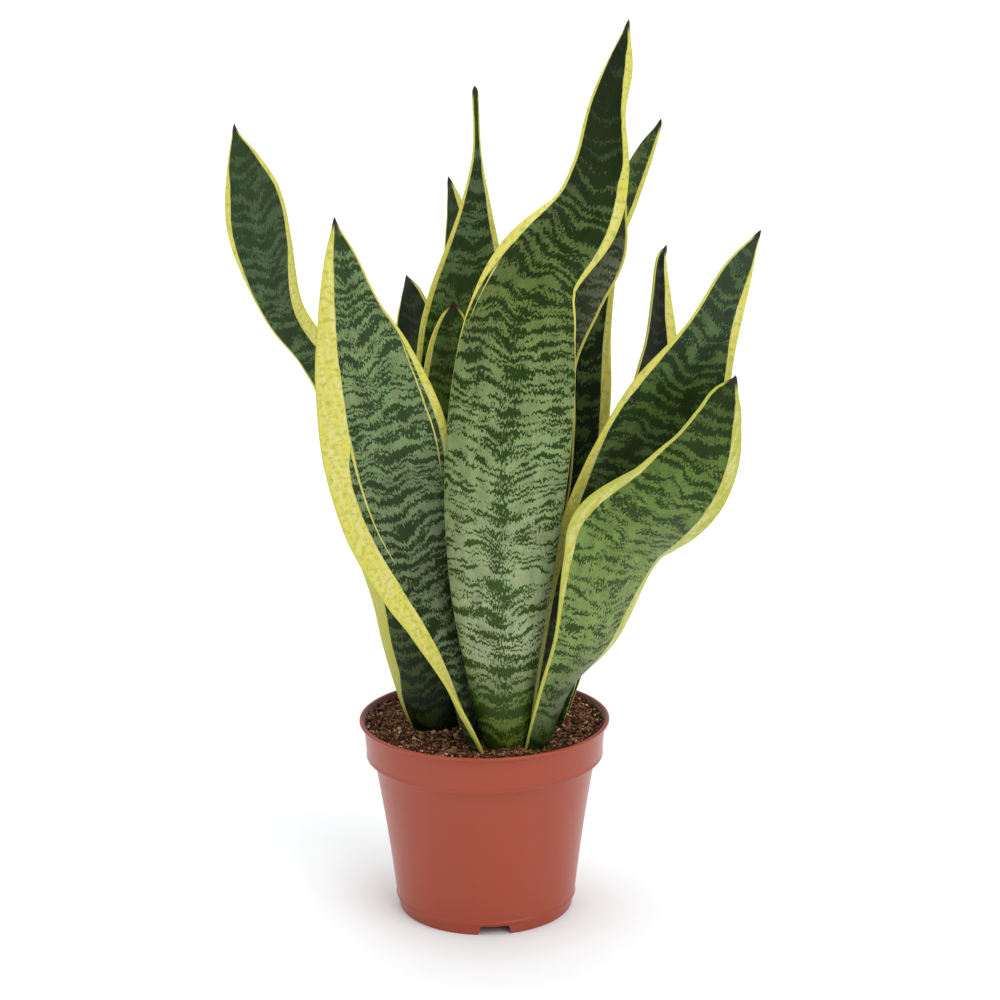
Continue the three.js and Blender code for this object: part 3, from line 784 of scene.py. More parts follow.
@dataclass(frozen=True)
class RhizomeSkin:
    """A living underground stem: ochre, dull and ringed with old leaf scars."""

    pale: str = "#b98a4a"
    scar: str = "#7a5528"
    rings: float = 80.0  # the wave's scale, which puts the scars 4 mm apart
    relief: tuple[float, float] = (0.4, 0.0004)  # strength, and depth in metres
    roughness: float = 0.7
    ior: float = 1.4

    def build(self) -> bpy.types.Material:
        """Builds the material on Object coordinates.

        Returns:
            The material.
        """
        graph = Graph(bpy.data.materials.new("rhizome_skin"))
        place = graph.add("TexCoord", out="Object")
        rings = graph.add(
            "TexWave", bands_direction="Z",
            named={"Vector": place, "Scale": self.rings, "Distortion": 3.0, "Detail": 2.0},
        )
        color = graph.add("Mix", rings, data_type="RGBA", out=2,
                          named={6: linear(self.scar), 7: linear(self.pale)})
        bump = graph.add("Bump", *self.relief, named={"Height": rings})
        skin = graph.add(
            "BsdfPrincipled",
            named={"Base Color": color, "Roughness": self.roughness, "IOR": self.ior, "Normal": bump},
        )
        graph.add("OutputMaterial", skin)
        return graph.owner


@dataclass(frozen=True)
class StudioPaper:
    """Seamless matt photographic paper: near-white, no gloss, a trace of tooth."""

    tone: str = "#f1f5f6"
    tooth: float = 900.0  # bumps in a metre, so one is about 1 mm across
    relief: tuple[float, float] = (0.02, 0.0001)  # strength, and depth in metres

    def build(self) -> bpy.types.Material:
        """Builds the material on Object coordinates.

        Returns:
            The material.
        """
        graph = Graph(bpy.data.materials.new("matt_background_paper"))
        place = graph.add("TexCoord", out="Object")
        tooth = graph.add("TexNoise", named={"Vector": place, "Scale": self.tooth})
        bump = graph.add("Bump", *self.relief, named={"Height": tooth})
        paper = graph.add(
            "BsdfPrincipled",
            named={"Base Color": linear(self.tone), "Roughness": 1.0, "Normal": bump,
                   "Specular IOR Level": 0.0},
        )
        graph.add("OutputMaterial", paper)
        return graph.owner


# ---- Leaves -----------------------------------------------------------------


class Station(NamedTuple):
    """Where a blade's middle is, half its width, its turn and its two curls."""

    x: float
    y: float
    z: float
    half: float
    turn: float  # 0 faces the front, 90 the right
    left: float  # degrees; each edge curls towards the face, or away if negative
    right: float


@dataclass(frozen=True)
class Wave:
    """The ripples that lift a blade's margins."""

    size: float
    count: float
    phase: float


@dataclass(frozen=True)
class Line:
    """A thin yellow line in the green, beside the margin, by height."""

    inset: Knots  # from the blade's edge to the line's middle
    half_width: Knots


NO_LINE = Line(inset=((0, 99),), half_width=((0, -9),))


class Rows(NamedTuple):
    """A blade's rows of points, from its root up, one entry for each row."""

    along: np.ndarray  # from the root, in millimetres
    share: np.ndarray  # the same in stations, 0 at the root and 1 at the tip
    centre: np.ndarray
    half: np.ndarray
    facing: np.ndarray
    across: np.ndarray
    curls: np.ndarray  # degrees, to the left and to the right


class Section(NamedTuple):
    """A blade's flat sections, one entry for each row and column of its face."""

    side: np.ndarray  # -1 left of the middle, 1 right of it
    reach: np.ndarray  # 0 in the middle, 1 at the edge
    width: np.ndarray  # half the row's width, with its rounded end
    lean: np.ndarray
    over: np.ndarray
    out: np.ndarray
    thick: np.ndarray


def wrapped(face: np.ndarray) -> np.ndarray:
    """Columns over a blade's face and back over its other side."""
    return np.concatenate([face, face[:, -2:0:-1]], 1)


@dataclass(frozen=True)
class Leaf:
    """One blade, from its root in the soil to its awl-shaped tip."""

    name: str
    root_thickness: float
    wave: Wave
    stations: tuple[Station, ...]
    left_margin: Knots  # the yellow margin's width, by height
    right_margin: Knots
    skin: LeafSkin
    cover: Knots  # how much of the ground the marks cover, by height
    streaked: Knots = ((0, 0),)  # extra marks along the middle, by height
    left_line: Line = NO_LINE
    right_line: Line = NO_LINE

    ROW: float = 1.5  # between rows of points
    COLUMNS: int = 30  # points over the width, on each face
    EDGE_COLUMNS: tuple[float, ...] = (0, 0.05, 0.2, 0.45, 0.75)  # from the edge, in roundings
    EDGE: float = 1.1  # the margin's thickness
    TIP: float = 1.6  # the middle's thickness near the tip
    THINNING: float = 1.5
    FULLNESS: float = 2.5
    AWL_HALF: float = 4.0  # a blade narrower than this closes into an awl
    AWL_EDGE: float = 0.6
    LEAST_HALF: float = 0.4
    TIP_ROUND: float = 3.2  # how far from its end the awl starts to round off
    BLUNT: float = 0.02  # how far short of a sharp point the awl ends
    NUDGE: float = 0.02  # the step that a tangent is taken over, in stations

    def places(self) -> tuple[np.ndarray, np.ndarray]:
        """Places a row apart, in stations from the root, and closer at the tip.

        Returns:
            The places, and each one's distance along the blade.
        """
        table = np.array(self.stations, float)
        fine = np.linspace(0, len(table) - 1, 4000)
        path = catmull_rom(table, fine)[:, :3]
        travelled = np.concatenate([[0], np.cumsum(np.linalg.norm(np.diff(path, axis=0), axis=1))])
        length = travelled[-1]
        even = np.linspace(0, length - self.TIP_ROUND, int(length / self.ROW))
        end = length - self.TIP_ROUND * np.cos(np.linspace(0, pi / 2, 7))[1:-1]
        along = np.concatenate([even, end])
        return np.interp(along, travelled, fine), along

    def rows(self) -> Rows:
        """The blade's rows: smooth curves through the stations.

        A row's frame is its tangent, the way it faces and the way across. It
        faces where its turn says, made square to the tangent.

        Returns:
            The rows.
        """
        place, along = self.places()
        table = np.array(self.stations, float)
        last = len(table) - 1
        row = catmull_rom(table, place)
        ahead = catmull_rom(table, np.minimum(last, place + self.NUDGE))[:, :3]
        behind = catmull_rom(table, np.maximum(0, place - self.NUDGE))[:, :3]
        tangent = (ahead - behind) / np.linalg.norm(ahead - behind, axis=1, keepdims=True)
        turn = np.radians(row[:, 4])
        facing = np.stack([np.sin(turn), -np.cos(turn), 0 * turn], -1)
        facing -= tangent * (facing * tangent).sum(1, keepdims=True)
        facing /= np.linalg.norm(facing, axis=1, keepdims=True)
        half = np.maximum(self.LEAST_HALF, row[:, 3:4])
        across = np.cross(tangent, facing)
        return Rows(along, (place / last)[:, None], row[:, :3], half, facing, across, row[:, 5:])

    def section(self, rows: Rows) -> Section:
        """The blade's flat sections.

        Each half of a section is an arc that leans by curl times reach, where
        reach is 0 in the middle and 1 at the edge: it lies half*sin(lean)/curl
        over and half*(1-cos(lean))/curl out. Ripples lift it by size*sin(beat)
        *sin(pi*share)*reach^3. The thickness falls from the middle's to the
        edge's as 1-reach^2.5, and rounds off at the edge and at the awl's end
        like a quarter circle.

        Args:
            rows: the blade's rows.

        Returns:
            The sections.
        """
        slim = np.minimum(1, rows.half / self.AWL_HALF)
        to_end = rows.along[-1] + self.BLUNT - rows.along
        closing = np.sqrt(1 - np.clip(1 - to_end / self.TIP_ROUND, 0, 1) ** 2)[:, None]
        width = rows.half * closing
        edge = self.EDGE * (self.AWL_EDGE + (1 - self.AWL_EDGE) * slim)
        rounding = np.minimum(edge / 2, 0.5 * width)
        near_edge = rounding * np.array(self.EDGE_COLUMNS)
        inner = np.linspace(0, 1, self.COLUMNS // 2 + 1 - len(self.EDGE_COLUMNS)) * (width - rounding)
        reach = np.concatenate([inner, (width - near_edge)[:, ::-1]], 1) / width
        reach = np.concatenate([reach[:, :0:-1], reach], 1)
        columns = reach.shape[1]
        side = np.sign(np.arange(columns) - columns // 2)[None]
        lean = np.radians(np.where(side < 0, rows.curls[:, :1], rows.curls[:, 1:])) * reach
        over = width * reach * np.sinc(lean / pi)
        out = width * reach * np.sin(lean / 2) * np.sinc(lean / 2 / pi)
        beat = np.sin(2 * pi * self.wave.count * rows.share + self.wave.phase + side)
        out = out + self.wave.size * slim * beat * np.sin(pi * rows.share) * reach**3
        body = self.TIP + (self.root_thickness - self.TIP) * (1 - rows.share) ** self.THINNING
        thick = edge + np.maximum(0, body * slim - edge) * (1 - reach**self.FULLNESS)
        rounded_off = np.clip(1 - width * (1 - reach) / rounding, 0, 1)
        thick = thick * np.sqrt(1 - rounded_off**2) * closing
        return Section(side, reach, width, lean, over, out, thick)

    def ring(self, rows: Rows, section: Section) -> np.ndarray:
        """The blade's surface: its face and its other side, half a thickness off its middle.

        Args:
            rows: the blade's rows.
            section: its sections.

        Returns:
            The points, by row and by place round the section.
        """
        across, facing = rows.across[:, None], rows.facing[:, None]
        over = (section.side * section.over)[..., None]
        middle = rows.centre[:, None] + across * over + facing * section.out[..., None]
        lean = section.lean
        normal = facing * np.cos(lean)[..., None] - across * (section.side * np.sin(lean))[..., None]
        offset = normal * section.thick[..., None] / 2
        return np.concatenate([middle + offset, (middle - offset)[:, -2:0:-1]], 1)

    def attributes(self, rows: Rows, section: Section) -> dict[str, np.ndarray]:
        """What the skin reads at each point.

        Args:
            rows: the blade's rows.
            section: its sections.

        Returns:
            Rows of three numbers for each attribute, as Spot lists them.
        """
        height, left = rows.centre[:, 2], section.side < 0
        margin, inset, line = (
            np.where(left, between(on_left, height)[:, None], between(on_right, height)[:, None])
            for on_left, on_right in (
                (self.left_margin, self.right_margin),
                (self.left_line.inset, self.right_line.inset),
                (self.left_line.half_width, self.right_line.half_width),
            )
        )
        cover, streaked = (between(knots, height)[:, None] for knots in (self.cover, self.streaked))
        along = rows.along[:, None]
        from_edge = section.width * (1 - section.reach)
        parts = {
            "blade": (section.side * section.reach * section.width, along, rows.along[-1] - along),
            "edge": (margin - from_edge, from_edge - inset, line),
            "pattern": (cover, streaked, from_edge),
        }
        shape = section.reach.shape
        layers = {}
        for label, numbers in parts.items():
            whole = [wrapped(np.broadcast_to(values, shape)) for values in numbers]
            rows_of_three = np.stack(whole, -1).reshape(-1, 3)
            layers[label] = np.concatenate([rows_of_three, rows_of_three[:1], rows_of_three[-1:]])
        return layers

    def build(self) -> bpy.types.Object:
        """Builds the blade as a closed tube, with one point at its root and one at its tip.

        Returns:
            The finished leaf.
        """
        rows = self.rows()
        section = self.section(rows)
        ring = self.ring(rows, section)
        around = ring.shape[1]
        count = len(ring) * around
        ends = [self.stations[0][:3], self.stations[-1][:3]]
        points = np.concatenate([ring.reshape(-1, 3), ends])
        fans = [
            fan_faces(0, around, count, upward=False),
            fan_faces(count - around, around, count + 1, upward=True),
        ]
        faces = [loop_faces(len(ring), around), np.concatenate(fans)]
        piece = new_piece(self.name + "_blade", points, faces, self.attributes(rows, section))
        piece.data.materials.append(self.skin.build())
        return set_out(piece, "leaf", self.name)


LEAVES = (
    Leaf(
        name="leaf_front",
        root_thickness=6,
        wave=Wave(size=0.8, count=3, phase=0.4),
        stations=(
            Station(7.5, -32, ROOT_LEVEL, 9, 0, -40, -40),
            Station(10, -38, 91, 10.6, 0, -40, -40),
            Station(8.6, -43, 127, 17.5, 0, -40, -40),
            Station(7.8, -46, 168, 24.6, -3, -38, -38),
            Station(9.4, -47, 214, 29.2, -6, -35, -35),
            Station(12.8, -47, 256, 29.4, -10, -30, -32),
            Station(16.8, -45, 290, 25.8, -15, -20, -30),
            Station(24.4, -42, 314, 20.6, -18, -12, -28),
            Station(44.6, -38, 336, 17, -22, -10, -25),
            Station(52.5, -35, 357, 13.8, -25, -10, -20),
            Station(55.4, -32, 382, 9.2, -28, -10, -15),
            Station(61, -30, 401, 6.5, -28, -10, -10),
            Station(64.6, -28, 417, 1.5, -28, 0, 0),
            Station(65.6, -28, 422, 0.6, -28, 0, 0),
        ),
        left_margin=(
            (91, 0.4), (240, 0.35), (275, 0.5), (287, 0.9), (298, 1.6), (304, 2.6), (311, 4.3),
            (318, 5), (325, 3.6), (336, 2), (372, 2), (392, 1.6), (404, 1), (422, 0.6),
        ),
        right_margin=(
            (91, 0.3), (275, 0.35), (290, 0.8), (303, 1.2), (316, 1.4), (324, 2.4), (330, 3.2),
            (336, 4.4), (344, 4.9), (353, 4.7), (361, 2.8), (371, 2.2), (380, 1.7), (389, 2.3),
            (397, 3.4), (405, 3), (412, 1.2), (422, 0.5),
        ),
        left_line=Line(
            inset=((282, 3), (288, 3.1), (296, 3.6), (303, 4.5), (309, 4.7)),
            half_width=((279, -0.3), (290, 0.25), (300, 0.3), (309, 0.5), (314, -0.3)),
        ),
        skin=LeafSkin(
            name="leaf_front_tissue",
            seed=1,
            band_pitch=7.0,
            fine=0.2,
            swell=1.5,
            ground=(
                (91, "#58671f"), (118, "#5d6e3a"), (140, "#8f9d74"), (250, "#7a8d5a"),
                (300, "#5c6e35"), (345, "#45562e"), (372, "#2c381d"), (422, "#27321e"),
            ),
            mark=(
                (91, "#2a3c07"), (170, "#34491b"), (260, "#223805"), (330, "#192c05"),
                (422, "#121e07"),
            ),
        ),
        cover=(
            (91, 0.9), (99, 0.5), (104, 0.2), (111, 0.6), (119, 0.45), (124, 0.12), (134, 0.45),
            (143, 0.06), (149, 0.5), (154, 0.02), (161, 0.4), (166, 0), (185, 0), (205, 0.08),
            (225, 0.02), (240, 0.15), (262, 0.32), (285, 0.38), (310, 0.42), (335, 0.55),
            (350, 0.75), (422, 0.95),
        ),
        streaked=(
            (91, 0), (110, 0.25), (150, 0.5), (200, 0.75), (245, 0.7), (280, 0.4), (310, 0.1),
            (330, 0),
        ),
    ),
    Leaf(
        name="leaf_front_left",
        root_thickness=5,
        wave=Wave(size=0.8, count=3, phase=1.2),
        stations=(
            Station(-3, -27, ROOT_LEVEL, 14, 84, 60, 60),
            Station(-5.5, -30, 91, 16.5, 80, 60, 60),
            Station(-12.5, -30, 130, 20, 50, 45, 45),
            Station(-20.5, -31, 157, 24, 38, 35, 35),
            Station(-28.5, -32, 177, 27, 30, 30, 30),
            Station(-39.2, -33, 205, 29.6, 25, 25, 25),
            Station(-45, -35, 239, 30.2, 20, 20, 20),
            Station(-53, -38, 274, 23, 18, 18, 18),
            Station(-58, -40, 297, 14.6, 15, 15, 15),
            Station(-61, -41, 320, 7.4, 12, 10, 10),
            Station(-62.8, -42, 334, 1.6, 10, 0, 0),
            Station(-63.2, -42, 339, 0.6, 10, 0, 0),
        ),
        left_margin=(
            (91, 1), (103, 2.5), (112, 5), (127, 8.5), (141, 10.4), (157, 11.2), (177, 12.6),
            (200, 12.6), (221, 11.4), (231, 12.3), (240, 14.9), (256, 14), (272, 12.4),
            (287, 9.9), (302, 7.2), (314, 5.3), (325, 3.1), (335, 1),
        ),
        right_margin=(
            (91, 1), (180, 2), (226, 3.8), (243, 3.9), (257, 3.6), (266, 2.8), (276, 2), (285, 1.2),
            (300, 0.8), (335, 0.8),
        ),
        left_line=Line(
            inset=((180, 16.6), (203, 16.5), (221, 15.6), (240, 14.6)),
            half_width=((176, -0.3), (188, 0.3), (203, 0.45), (221, 0.6), (240, 0.9), (248, -0.3)),
        ),
        right_line=Line(
            inset=((205, 6), (226, 6.2), (246, 6.6), (266, 4.4), (278, 2.2)),
            half_width=((200, -0.3), (226, 0.4), (246, 0.5), (266, 0.4), (278, 0.3), (284, -0.3)),
        ),
        skin=LeafSkin(
            name="leaf_front_left_tissue",
            seed=2,
            band_pitch=6.0,
            fine=0.3,
            swell=1.8,
            ground=(
                (91, "#354825"), (130, "#647454"), (165, "#5c6c4c"), (230, "#6b7f56"), (270, "#728758"),
                (335, "#5f744a"),
            ),
            mark=((91, "#152203"), (180, "#223012"), (260, "#2d401f"), (335, "#2c4020")),
        ),
        cover=(
            (91, 0.7), (115, 0.5), (140, 0.42), (180, 0.46), (215, 0.4), (250, 0.3), (290, 0.32),
            (315, 0.48), (335, 0.8),
        ),
        streaked=((91, 0), (200, 0.06), (335, 0)),
    ),
    Leaf(
        name="leaf_front_right",
        root_thickness=5,
        wave=Wave(size=1, count=3, phase=2.1),
        stations=(
            Station(24.8, -29.6, ROOT_LEVEL, 8.6, 51, -45, -45),
            Station(26.5, -35.4, 91, 9.2, 51, -45, -45),
            Station(35.6, -39.5, 119.7, 12.7, 56.9, -44, -20),
            Station(49.6, -42.8, 146, 20.4, 46.8, -40, -12),
            Station(59.8, -42.3, 179.3, 27.7, 41.7, -36, -8),
            Station(67.4, -44, 194.7, 31.1, 34.6, -24, -8),
            Station(86.8, -54.3, 215.3, 24.2, 25.8, -12, -8),
            Station(97.6, -55.3, 232.1, 18.2, 12.5, -14, -10),
            Station(103.9, -58, 249.8, 11.4, 6.6, -10, -10),
            Station(106.8, -58, 260, 7.2, 4, 0, 0),
            Station(110.6, -59, 268, 1.6, 0, 0, 0),
            Station(111.4, -59, 271, 0.6, 0, 0, 0),
        ),
        left_margin=(
            (91, 0.9), (111, 1.2), (134, 1.4), (150, 1.6), (159, 2), (169, 2.9), (181, 4.2),
            (190, 5.6), (196, 6.2), (203, 5.4), (212, 3.4), (222, 2.2), (235, 1.5), (255, 1.6),
            (263, 1), (271, 0.5),
        ),
        right_margin=(
            (91, 0.6), (112, 0.8), (120, 2.6), (130, 4.6), (142, 6.2), (155, 6.8), (165, 6),
            (173, 4.2), (180, 3.4), (186, 4.2), (194, 6), (203, 7.2), (215, 7.5), (231, 6.5),
            (247, 5), (255, 3.5), (263, 1.8), (270, 1),
        ),
        skin=LeafSkin(
            name="leaf_front_right_tissue",
            seed=3,
            band_pitch=8.0,
            fine=0.18,
            swell=1.5,
            # a darker cream: painted shade on this leaf's margins
            cream="#b4b650",
            greening=(120, 95),
            ground=(
                (91, "#304014"), (121, "#5c6b40"), (150, "#788b4e"), (180, "#718546"),
                (208, "#667c3d"), (235, "#50672c"), (271, "#30401e"),
            ),
            mark=((91, "#1a2b07"), (180, "#344b1d"), (235, "#1f3203"), (271, "#1e2c0e")),
        ),
        cover=(
            (91, 0.8), (100, 0.5), (115, 0.3), (150, 0.16), (190, 0.18), (210, 0.3), (228, 0.42),
            (245, 0.52), (258, 0.7), (271, 0.95),
        ),
    ),
    Leaf(
        name="leaf_right",
        root_thickness=5,
        wave=Wave(size=1, count=3, phase=0.2),
        stations=(
            Station(26, -4, ROOT_LEVEL, 8, 10, 35, 35),
            Station(28, -6, 91, 9, 10, 35, 35),
            Station(37.6, -10, 138, 14, 15, 30, 30),
            Station(44.9, -17, 166, 18.2, 18, 25, 25),
            Station(56.2, -26, 196, 23.6, 20, 20, 20),
            Station(73.4, -32, 225.6, 28.6, 20, 15, 15),
            Station(87, -37, 255, 24.8, 20, 12, 12),
            Station(101.2, -41, 285, 13.6, 20, 10, 10),
            Station(112.2, -44, 312.4, 7.7, 15, 5, 5),
            Station(120.4, -45, 327.9, 1.7, 10, 0, 0),
            Station(122.9, -46, 332.4, 0.6, 10, 0, 0),
        ),
        left_margin=(
            (91, 2), (150, 5), (180, 6.4), (200, 6.4), (211, 5.4), (222, 4), (235, 2.6), (247, 2.6),
            (256, 3.8), (265, 3.4), (273, 2.2), (285, 0.9), (300, 1), (332, 0.6),
        ),
        right_margin=(
            (91, 0.1), (150, 0.3), (200, 3.5), (260, 3.2), (280, 3.4), (290, 4.1), (300, 3.8),
            (311, 2.5), (319, 1.2), (330, 0.5),
        ),
        skin=LeafSkin(
            name="leaf_right_tissue",
            seed=4,
            band_pitch=7.0,
            ground=(
                (91, "#283c0f"), (180, "#516638"), (230, "#53683b"), (256, "#425825"), (290, "#50643c"),
                (332, "#415036"),
            ),
            mark=(
                (91, "#0b1d02"), (180, "#22340f"), (228, "#2a3a1e"), (256, "#1a2e06"),
                (290, "#27371f"), (332, "#2f3e2b"),
            ),
        ),
        cover=((91, 0.7), (180, 0.62), (215, 0.6), (250, 0.62), (290, 0.58), (315, 0.6), (332, 0.9)),
    ),
    Leaf(
        name="leaf_left",
        root_thickness=5,
        wave=Wave(size=1, count=3, phase=0.9),
        stations=(
            Station(-21, -10, ROOT_LEVEL, 12, -22, -35, -35),
            Station(-23.3, -14, 91, 13, -22, -35, -35),
            Station(-28.5, -14, 108, 15, -22, -30, -30),
            Station(-35, -10, 134, 16.5, -20, -28, -28),
            Station(-39.5, -8, 157, 15.8, -18, -20, -20),
            Station(-50, -6, 196, 15.8, -18, -10, -10),
            Station(-62.5, 5, 245, 13, -20, 5, 5),
            Station(-77.4, 14, 267.8, 9.8, -22, 8, 15),
            Station(-92.3, 26, 287.6, 12.4, -25, 10, 22),
            Station(-101.8, 34, 317.4, 17.6, -26, 8, 20),
            Station(-106.8, 38, 338.2, 16.2, -26, 5, 10),
            Station(-111.5, 41, 355.2, 9.7, -26, 0, 0),
            Station(-115.1, 43, 369.2, 1.9, -26, 0, 0),
            Station(-115.5, 44, 374.2, 0.6, -26, 0, 0),
        ),
        left_margin=(
            (91, 2), (111, 4.5), (122, 8), (160, 8), (200, 4), (250, 1.5), (271, 1),
            (300, 1.2), (311, 2.1), (327, 2.8), (340, 3.5), (347, 3.2), (355, 1.6), (370, 0.8),
        ),
        right_margin=(
            (91, 1), (200, 2), (260, 4), (272, 7), (283, 7), (295, 6), (305, 4.5), (313, 2.6),
            (325, 1.6), (340, 1.5), (352, 1.8), (362, 0.8), (374, 0.5),
        ),
        skin=LeafSkin(
            name="leaf_left_tissue",
            seed=5,
            band_pitch=6.5,
            greening=(215, 105),
            ground=(
                (91, "#1e2703"), (140, "#48552c"), (260, "#4e623b"), (320, "#44593a"),
                (374, "#3c4f32"),
            ),
            mark=((91, "#020d02"), (140, "#1b2a07"), (320, "#2a3c1d"), (374, "#2a3b1e")),
        ),
        cover=(
            (91, 0.8), (110, 0.62), (118, 0.4), (124, 0.66), (133, 0.4), (142, 0.6),
            (160, 0.5), (260, 0.5), (300, 0.55), (340, 0.56), (360, 0.7), (374, 0.9),
        ),
    ),
    Leaf(
        name="leaf_back_left",
        root_thickness=5,
        wave=Wave(size=0.8, count=3, phase=2.6),
        stations=(
            Station(-13, 3, ROOT_LEVEL, 9, 10, 30, 30),
            Station(-13, 3, 91, 10, 12, 30, 30),
            Station(-13, 4, 150, 18, 20, 28, 28),
            Station(-13.5, 5, 224, 26, 28, 25, 25),
            Station(-9.8, 8, 271, 25.6, 30, 20, 20),
            Station(-7.8, 10, 293, 21, 30, 15, 15),
            Station(-4.2, 12, 317, 14.6, 30, 10, 10),
            Station(-2, 14, 338.6, 7.6, 25, 5, 5),
            Station(-1.2, 16, 361, 2.2, 20, 0, 0),
            Station(-1.8, 18, 387, 1.5, 10, 0, 0),
            Station(-2.4, 18, 392, 0.6, 0, 0, 0),
        ),
        left_margin=(
            (91, 1.2), (250, 3), (290, 2.6), (310, 2.2), (327, 1.8), (340, 1.2), (351, 0.8),
            (392, 0.5),
        ),
        right_margin=(
            (91, 1.2), (280, 3), (327, 3.2), (335, 2.8), (343, 2.1), (351, 1.8), (358, 0.9),
            (392, 0.5),
        ),
        skin=LeafSkin(
            name="leaf_back_left_tissue",
            seed=6,
            ground=(
                (91, "#263907"), (270, "#5a7530"), (310, "#52683a"), (345, "#4e5f40"),
                (392, "#445034"),
            ),
            mark=((91, "#102202"), (290, "#2a400b"), (330, "#1f3112"), (392, "#29371a")),
        ),
        cover=((91, 0.6), (220, 0.55), (290, 0.42), (315, 0.5), (335, 0.6), (350, 0.7), (392, 0.9)),
    ),
    Leaf(
        name="leaf_back_far",
        root_thickness=4,
        wave=Wave(size=0.6, count=2, phase=0.5),
        stations=(
            Station(-18, 18, ROOT_LEVEL, 7, -10, 30, 30),
            Station(-18, 20, 91, 8, -15, 30, 30),
            Station(-16, 28, 194, 12.6, -30, 20, 20),
            Station(-11, 38, 266, 13.2, -38, 15, 15),
            Station(-10.5, 44, 318, 8.2, -40, 8, 8),
            Station(-12.4, 48, 334.5, 4.7, -40, 0, 0),
            Station(-14.8, 50, 345, 1.4, -40, 0, 0),
            Station(-15.3, 50, 348.3, 0.6, -40, 0, 0),
        ),
        left_margin=((91, 1), (300, 1), (335, 0.8), (348, 0.5)),
        right_margin=((91, 1), (300, 2.5), (319, 3.2), (335, 2.3), (343, 0.9), (348, 0.5)),
        skin=LeafSkin(
            name="leaf_back_far_tissue",
            seed=7,
            ground=((91, "#2a3d1e"), (348, "#3a4a30")),
            mark=((91, "#122302"), (348, "#2b3c1d")),
        ),
        cover=((91, 0.6), (300, 0.6), (348, 0.8)),
    ),
    Leaf(
        name="leaf_back_small",
        root_thickness=4,
        wave=Wave(size=0.6, count=2, phase=1.5),
        stations=(
            Station(-29, 12, ROOT_LEVEL, 6, -20, 30, 30),
            Station(-29, 12, 91, 7.5, -25, 30, 30),
            Station(-30, 14, 170, 12, -40, 25, 25),
            Station(-30.4, 16, 237, 15, -45, 20, 20),
            Station(-30.4, 18, 279, 12.5, -45, 10, 10),
            Station(-32.3, 19, 295, 7.4, -45, 0, 0),
            Station(-34.4, 20, 303, 1.6, -45, 0, 0),
            Station(-34.8, 20, 305.5, 0.6, -45, 0, 0),
        ),
        left_margin=((91, 1), (260, 1.3), (287, 1.2), (305, 0.5)),
        right_margin=((91, 1), (270, 1.6), (295, 1), (305, 0.5)),
        skin=LeafSkin(
            name="leaf_back_small_tissue",
            seed=8,
            # near-black greens: painted shade on this leaf, which stands in shadow behind the front
            # leaves
            ground=((91, "#141f02"), (306, "#28350e")),
            mark=((91, "#020502"), (306, "#0e1b02")),
        ),
        cover=((91, 0.6), (280, 0.62), (306, 0.85)),
    ),
    Leaf(
        name="leaf_middle_left",
        root_thickness=4,
        wave=Wave(size=0.6, count=2, phase=0.8),
        stations=(
            Station(-4, -9, ROOT_LEVEL, 5, 10, 35, 35),
            Station(-5, -9, 91, 5.5, 10, 35, 35),
            Station(-6.5, -13, 134, 8, 12, 30, 30),
            Station(-13, -12, 190, 13.4, 15, 25, 25),
            Station(-14.7, -9, 230, 15.6, 18, 20, 20),
            Station(-14.6, -8, 252, 15.4, 20, 20, 20),
            Station(-13.6, -6, 273, 12.5, 20, 15, 15),
            Station(-12.9, -5, 287, 6.8, 20, 0, 0),
            Station(-12.6, -5, 294, 1.5, 20, 0, 0),
            Station(-12.6, -5, 297, 0.6, 20, 0, 0),
        ),
        left_margin=((91, 1), (230, 2.6), (255, 2.8), (271, 2.8), (279, 2.2), (290, 1.2), (297, 0.6)),
        right_margin=((91, 1), (250, 1.5), (280, 1.6), (290, 1.5), (297, 0.5)),
        skin=LeafSkin(
            name="leaf_middle_left_tissue",
            seed=9,
            ground=((91, "#30450a"), (250, "#607936"), (297, "#506636")),
            mark=((91, "#152502"), (250, "#314512"), (297, "#2a3c1f")),
        ),
        cover=((91, 0.6), (230, 0.5), (260, 0.42), (285, 0.5), (297, 0.8)),
    ),
    Leaf(
        name="leaf_back_tall",
        root_thickness=5,
        wave=Wave(size=0.8, count=3, phase=1.8),
        stations=(
            Station(18, 1, ROOT_LEVEL, 7, 0, 35, 35),
            Station(20, 2, 91, 8, -5, 35, 35),
            Station(34, 5, 152.5, 12.6, -15, 30, 30),
            Station(42.7, 10, 200, 16.2, -25, 25, 25),
            Station(47.9, 16, 245.6, 16, -32, 20, 20),
            Station(51.1, 22, 278, 12.6, -35, 15, 15),
            Station(58.2, 26, 314.6, 9, -35, 10, 10),
            Station(67.5, 31, 338.2, 7.3, -35, 5, 5),
            Station(77.3, 35, 359.8, 4.6, -35, 0, 0),
            Station(83.4, 37, 370.8, 1.6, -35, 0, 0),
            Station(84.8, 38, 375.5, 0.6, -35, 0, 0),
        ),
        left_margin=((91, 1), (300, 1), (340, 0.5), (375, 0.4)),
        right_margin=(
            (91, 0.4), (170, 1), (200, 4.5), (239, 5.2), (255, 5.3), (263, 4.5), (279, 3.3),
            (295, 2.6), (315, 2.2), (335, 1.8), (351, 1.5), (367, 1), (375, 0.4),
        ),
        skin=LeafSkin(
            name="leaf_back_tall_tissue",
            seed=10,
            ground=((91, "#142402"), (276, "#425425"), (350, "#536533"), (376, "#485536")),
            mark=((91, "#020702"), (276, "#0d1e02"), (350, "#2b3e1f"), (376, "#26341d")),
        ),
        cover=((91, 0.65), (260, 0.6), (330, 0.42), (355, 0.5), (376, 0.85)),
    ),
    Leaf(
        name="leaf_folded",
        root_thickness=4,
        wave=Wave(size=0.6, count=2, phase=2.9),
        stations=(
            Station(12, -19, ROOT_LEVEL, 5.5, 0, -35, -35),
            Station(13, -20, 91, 6, -5, -35, -35),
            Station(17.4, -21, 156, 7.4, -12, -30, -30),
            Station(28.5, -19, 204, 10.8, -20, -25, -25),
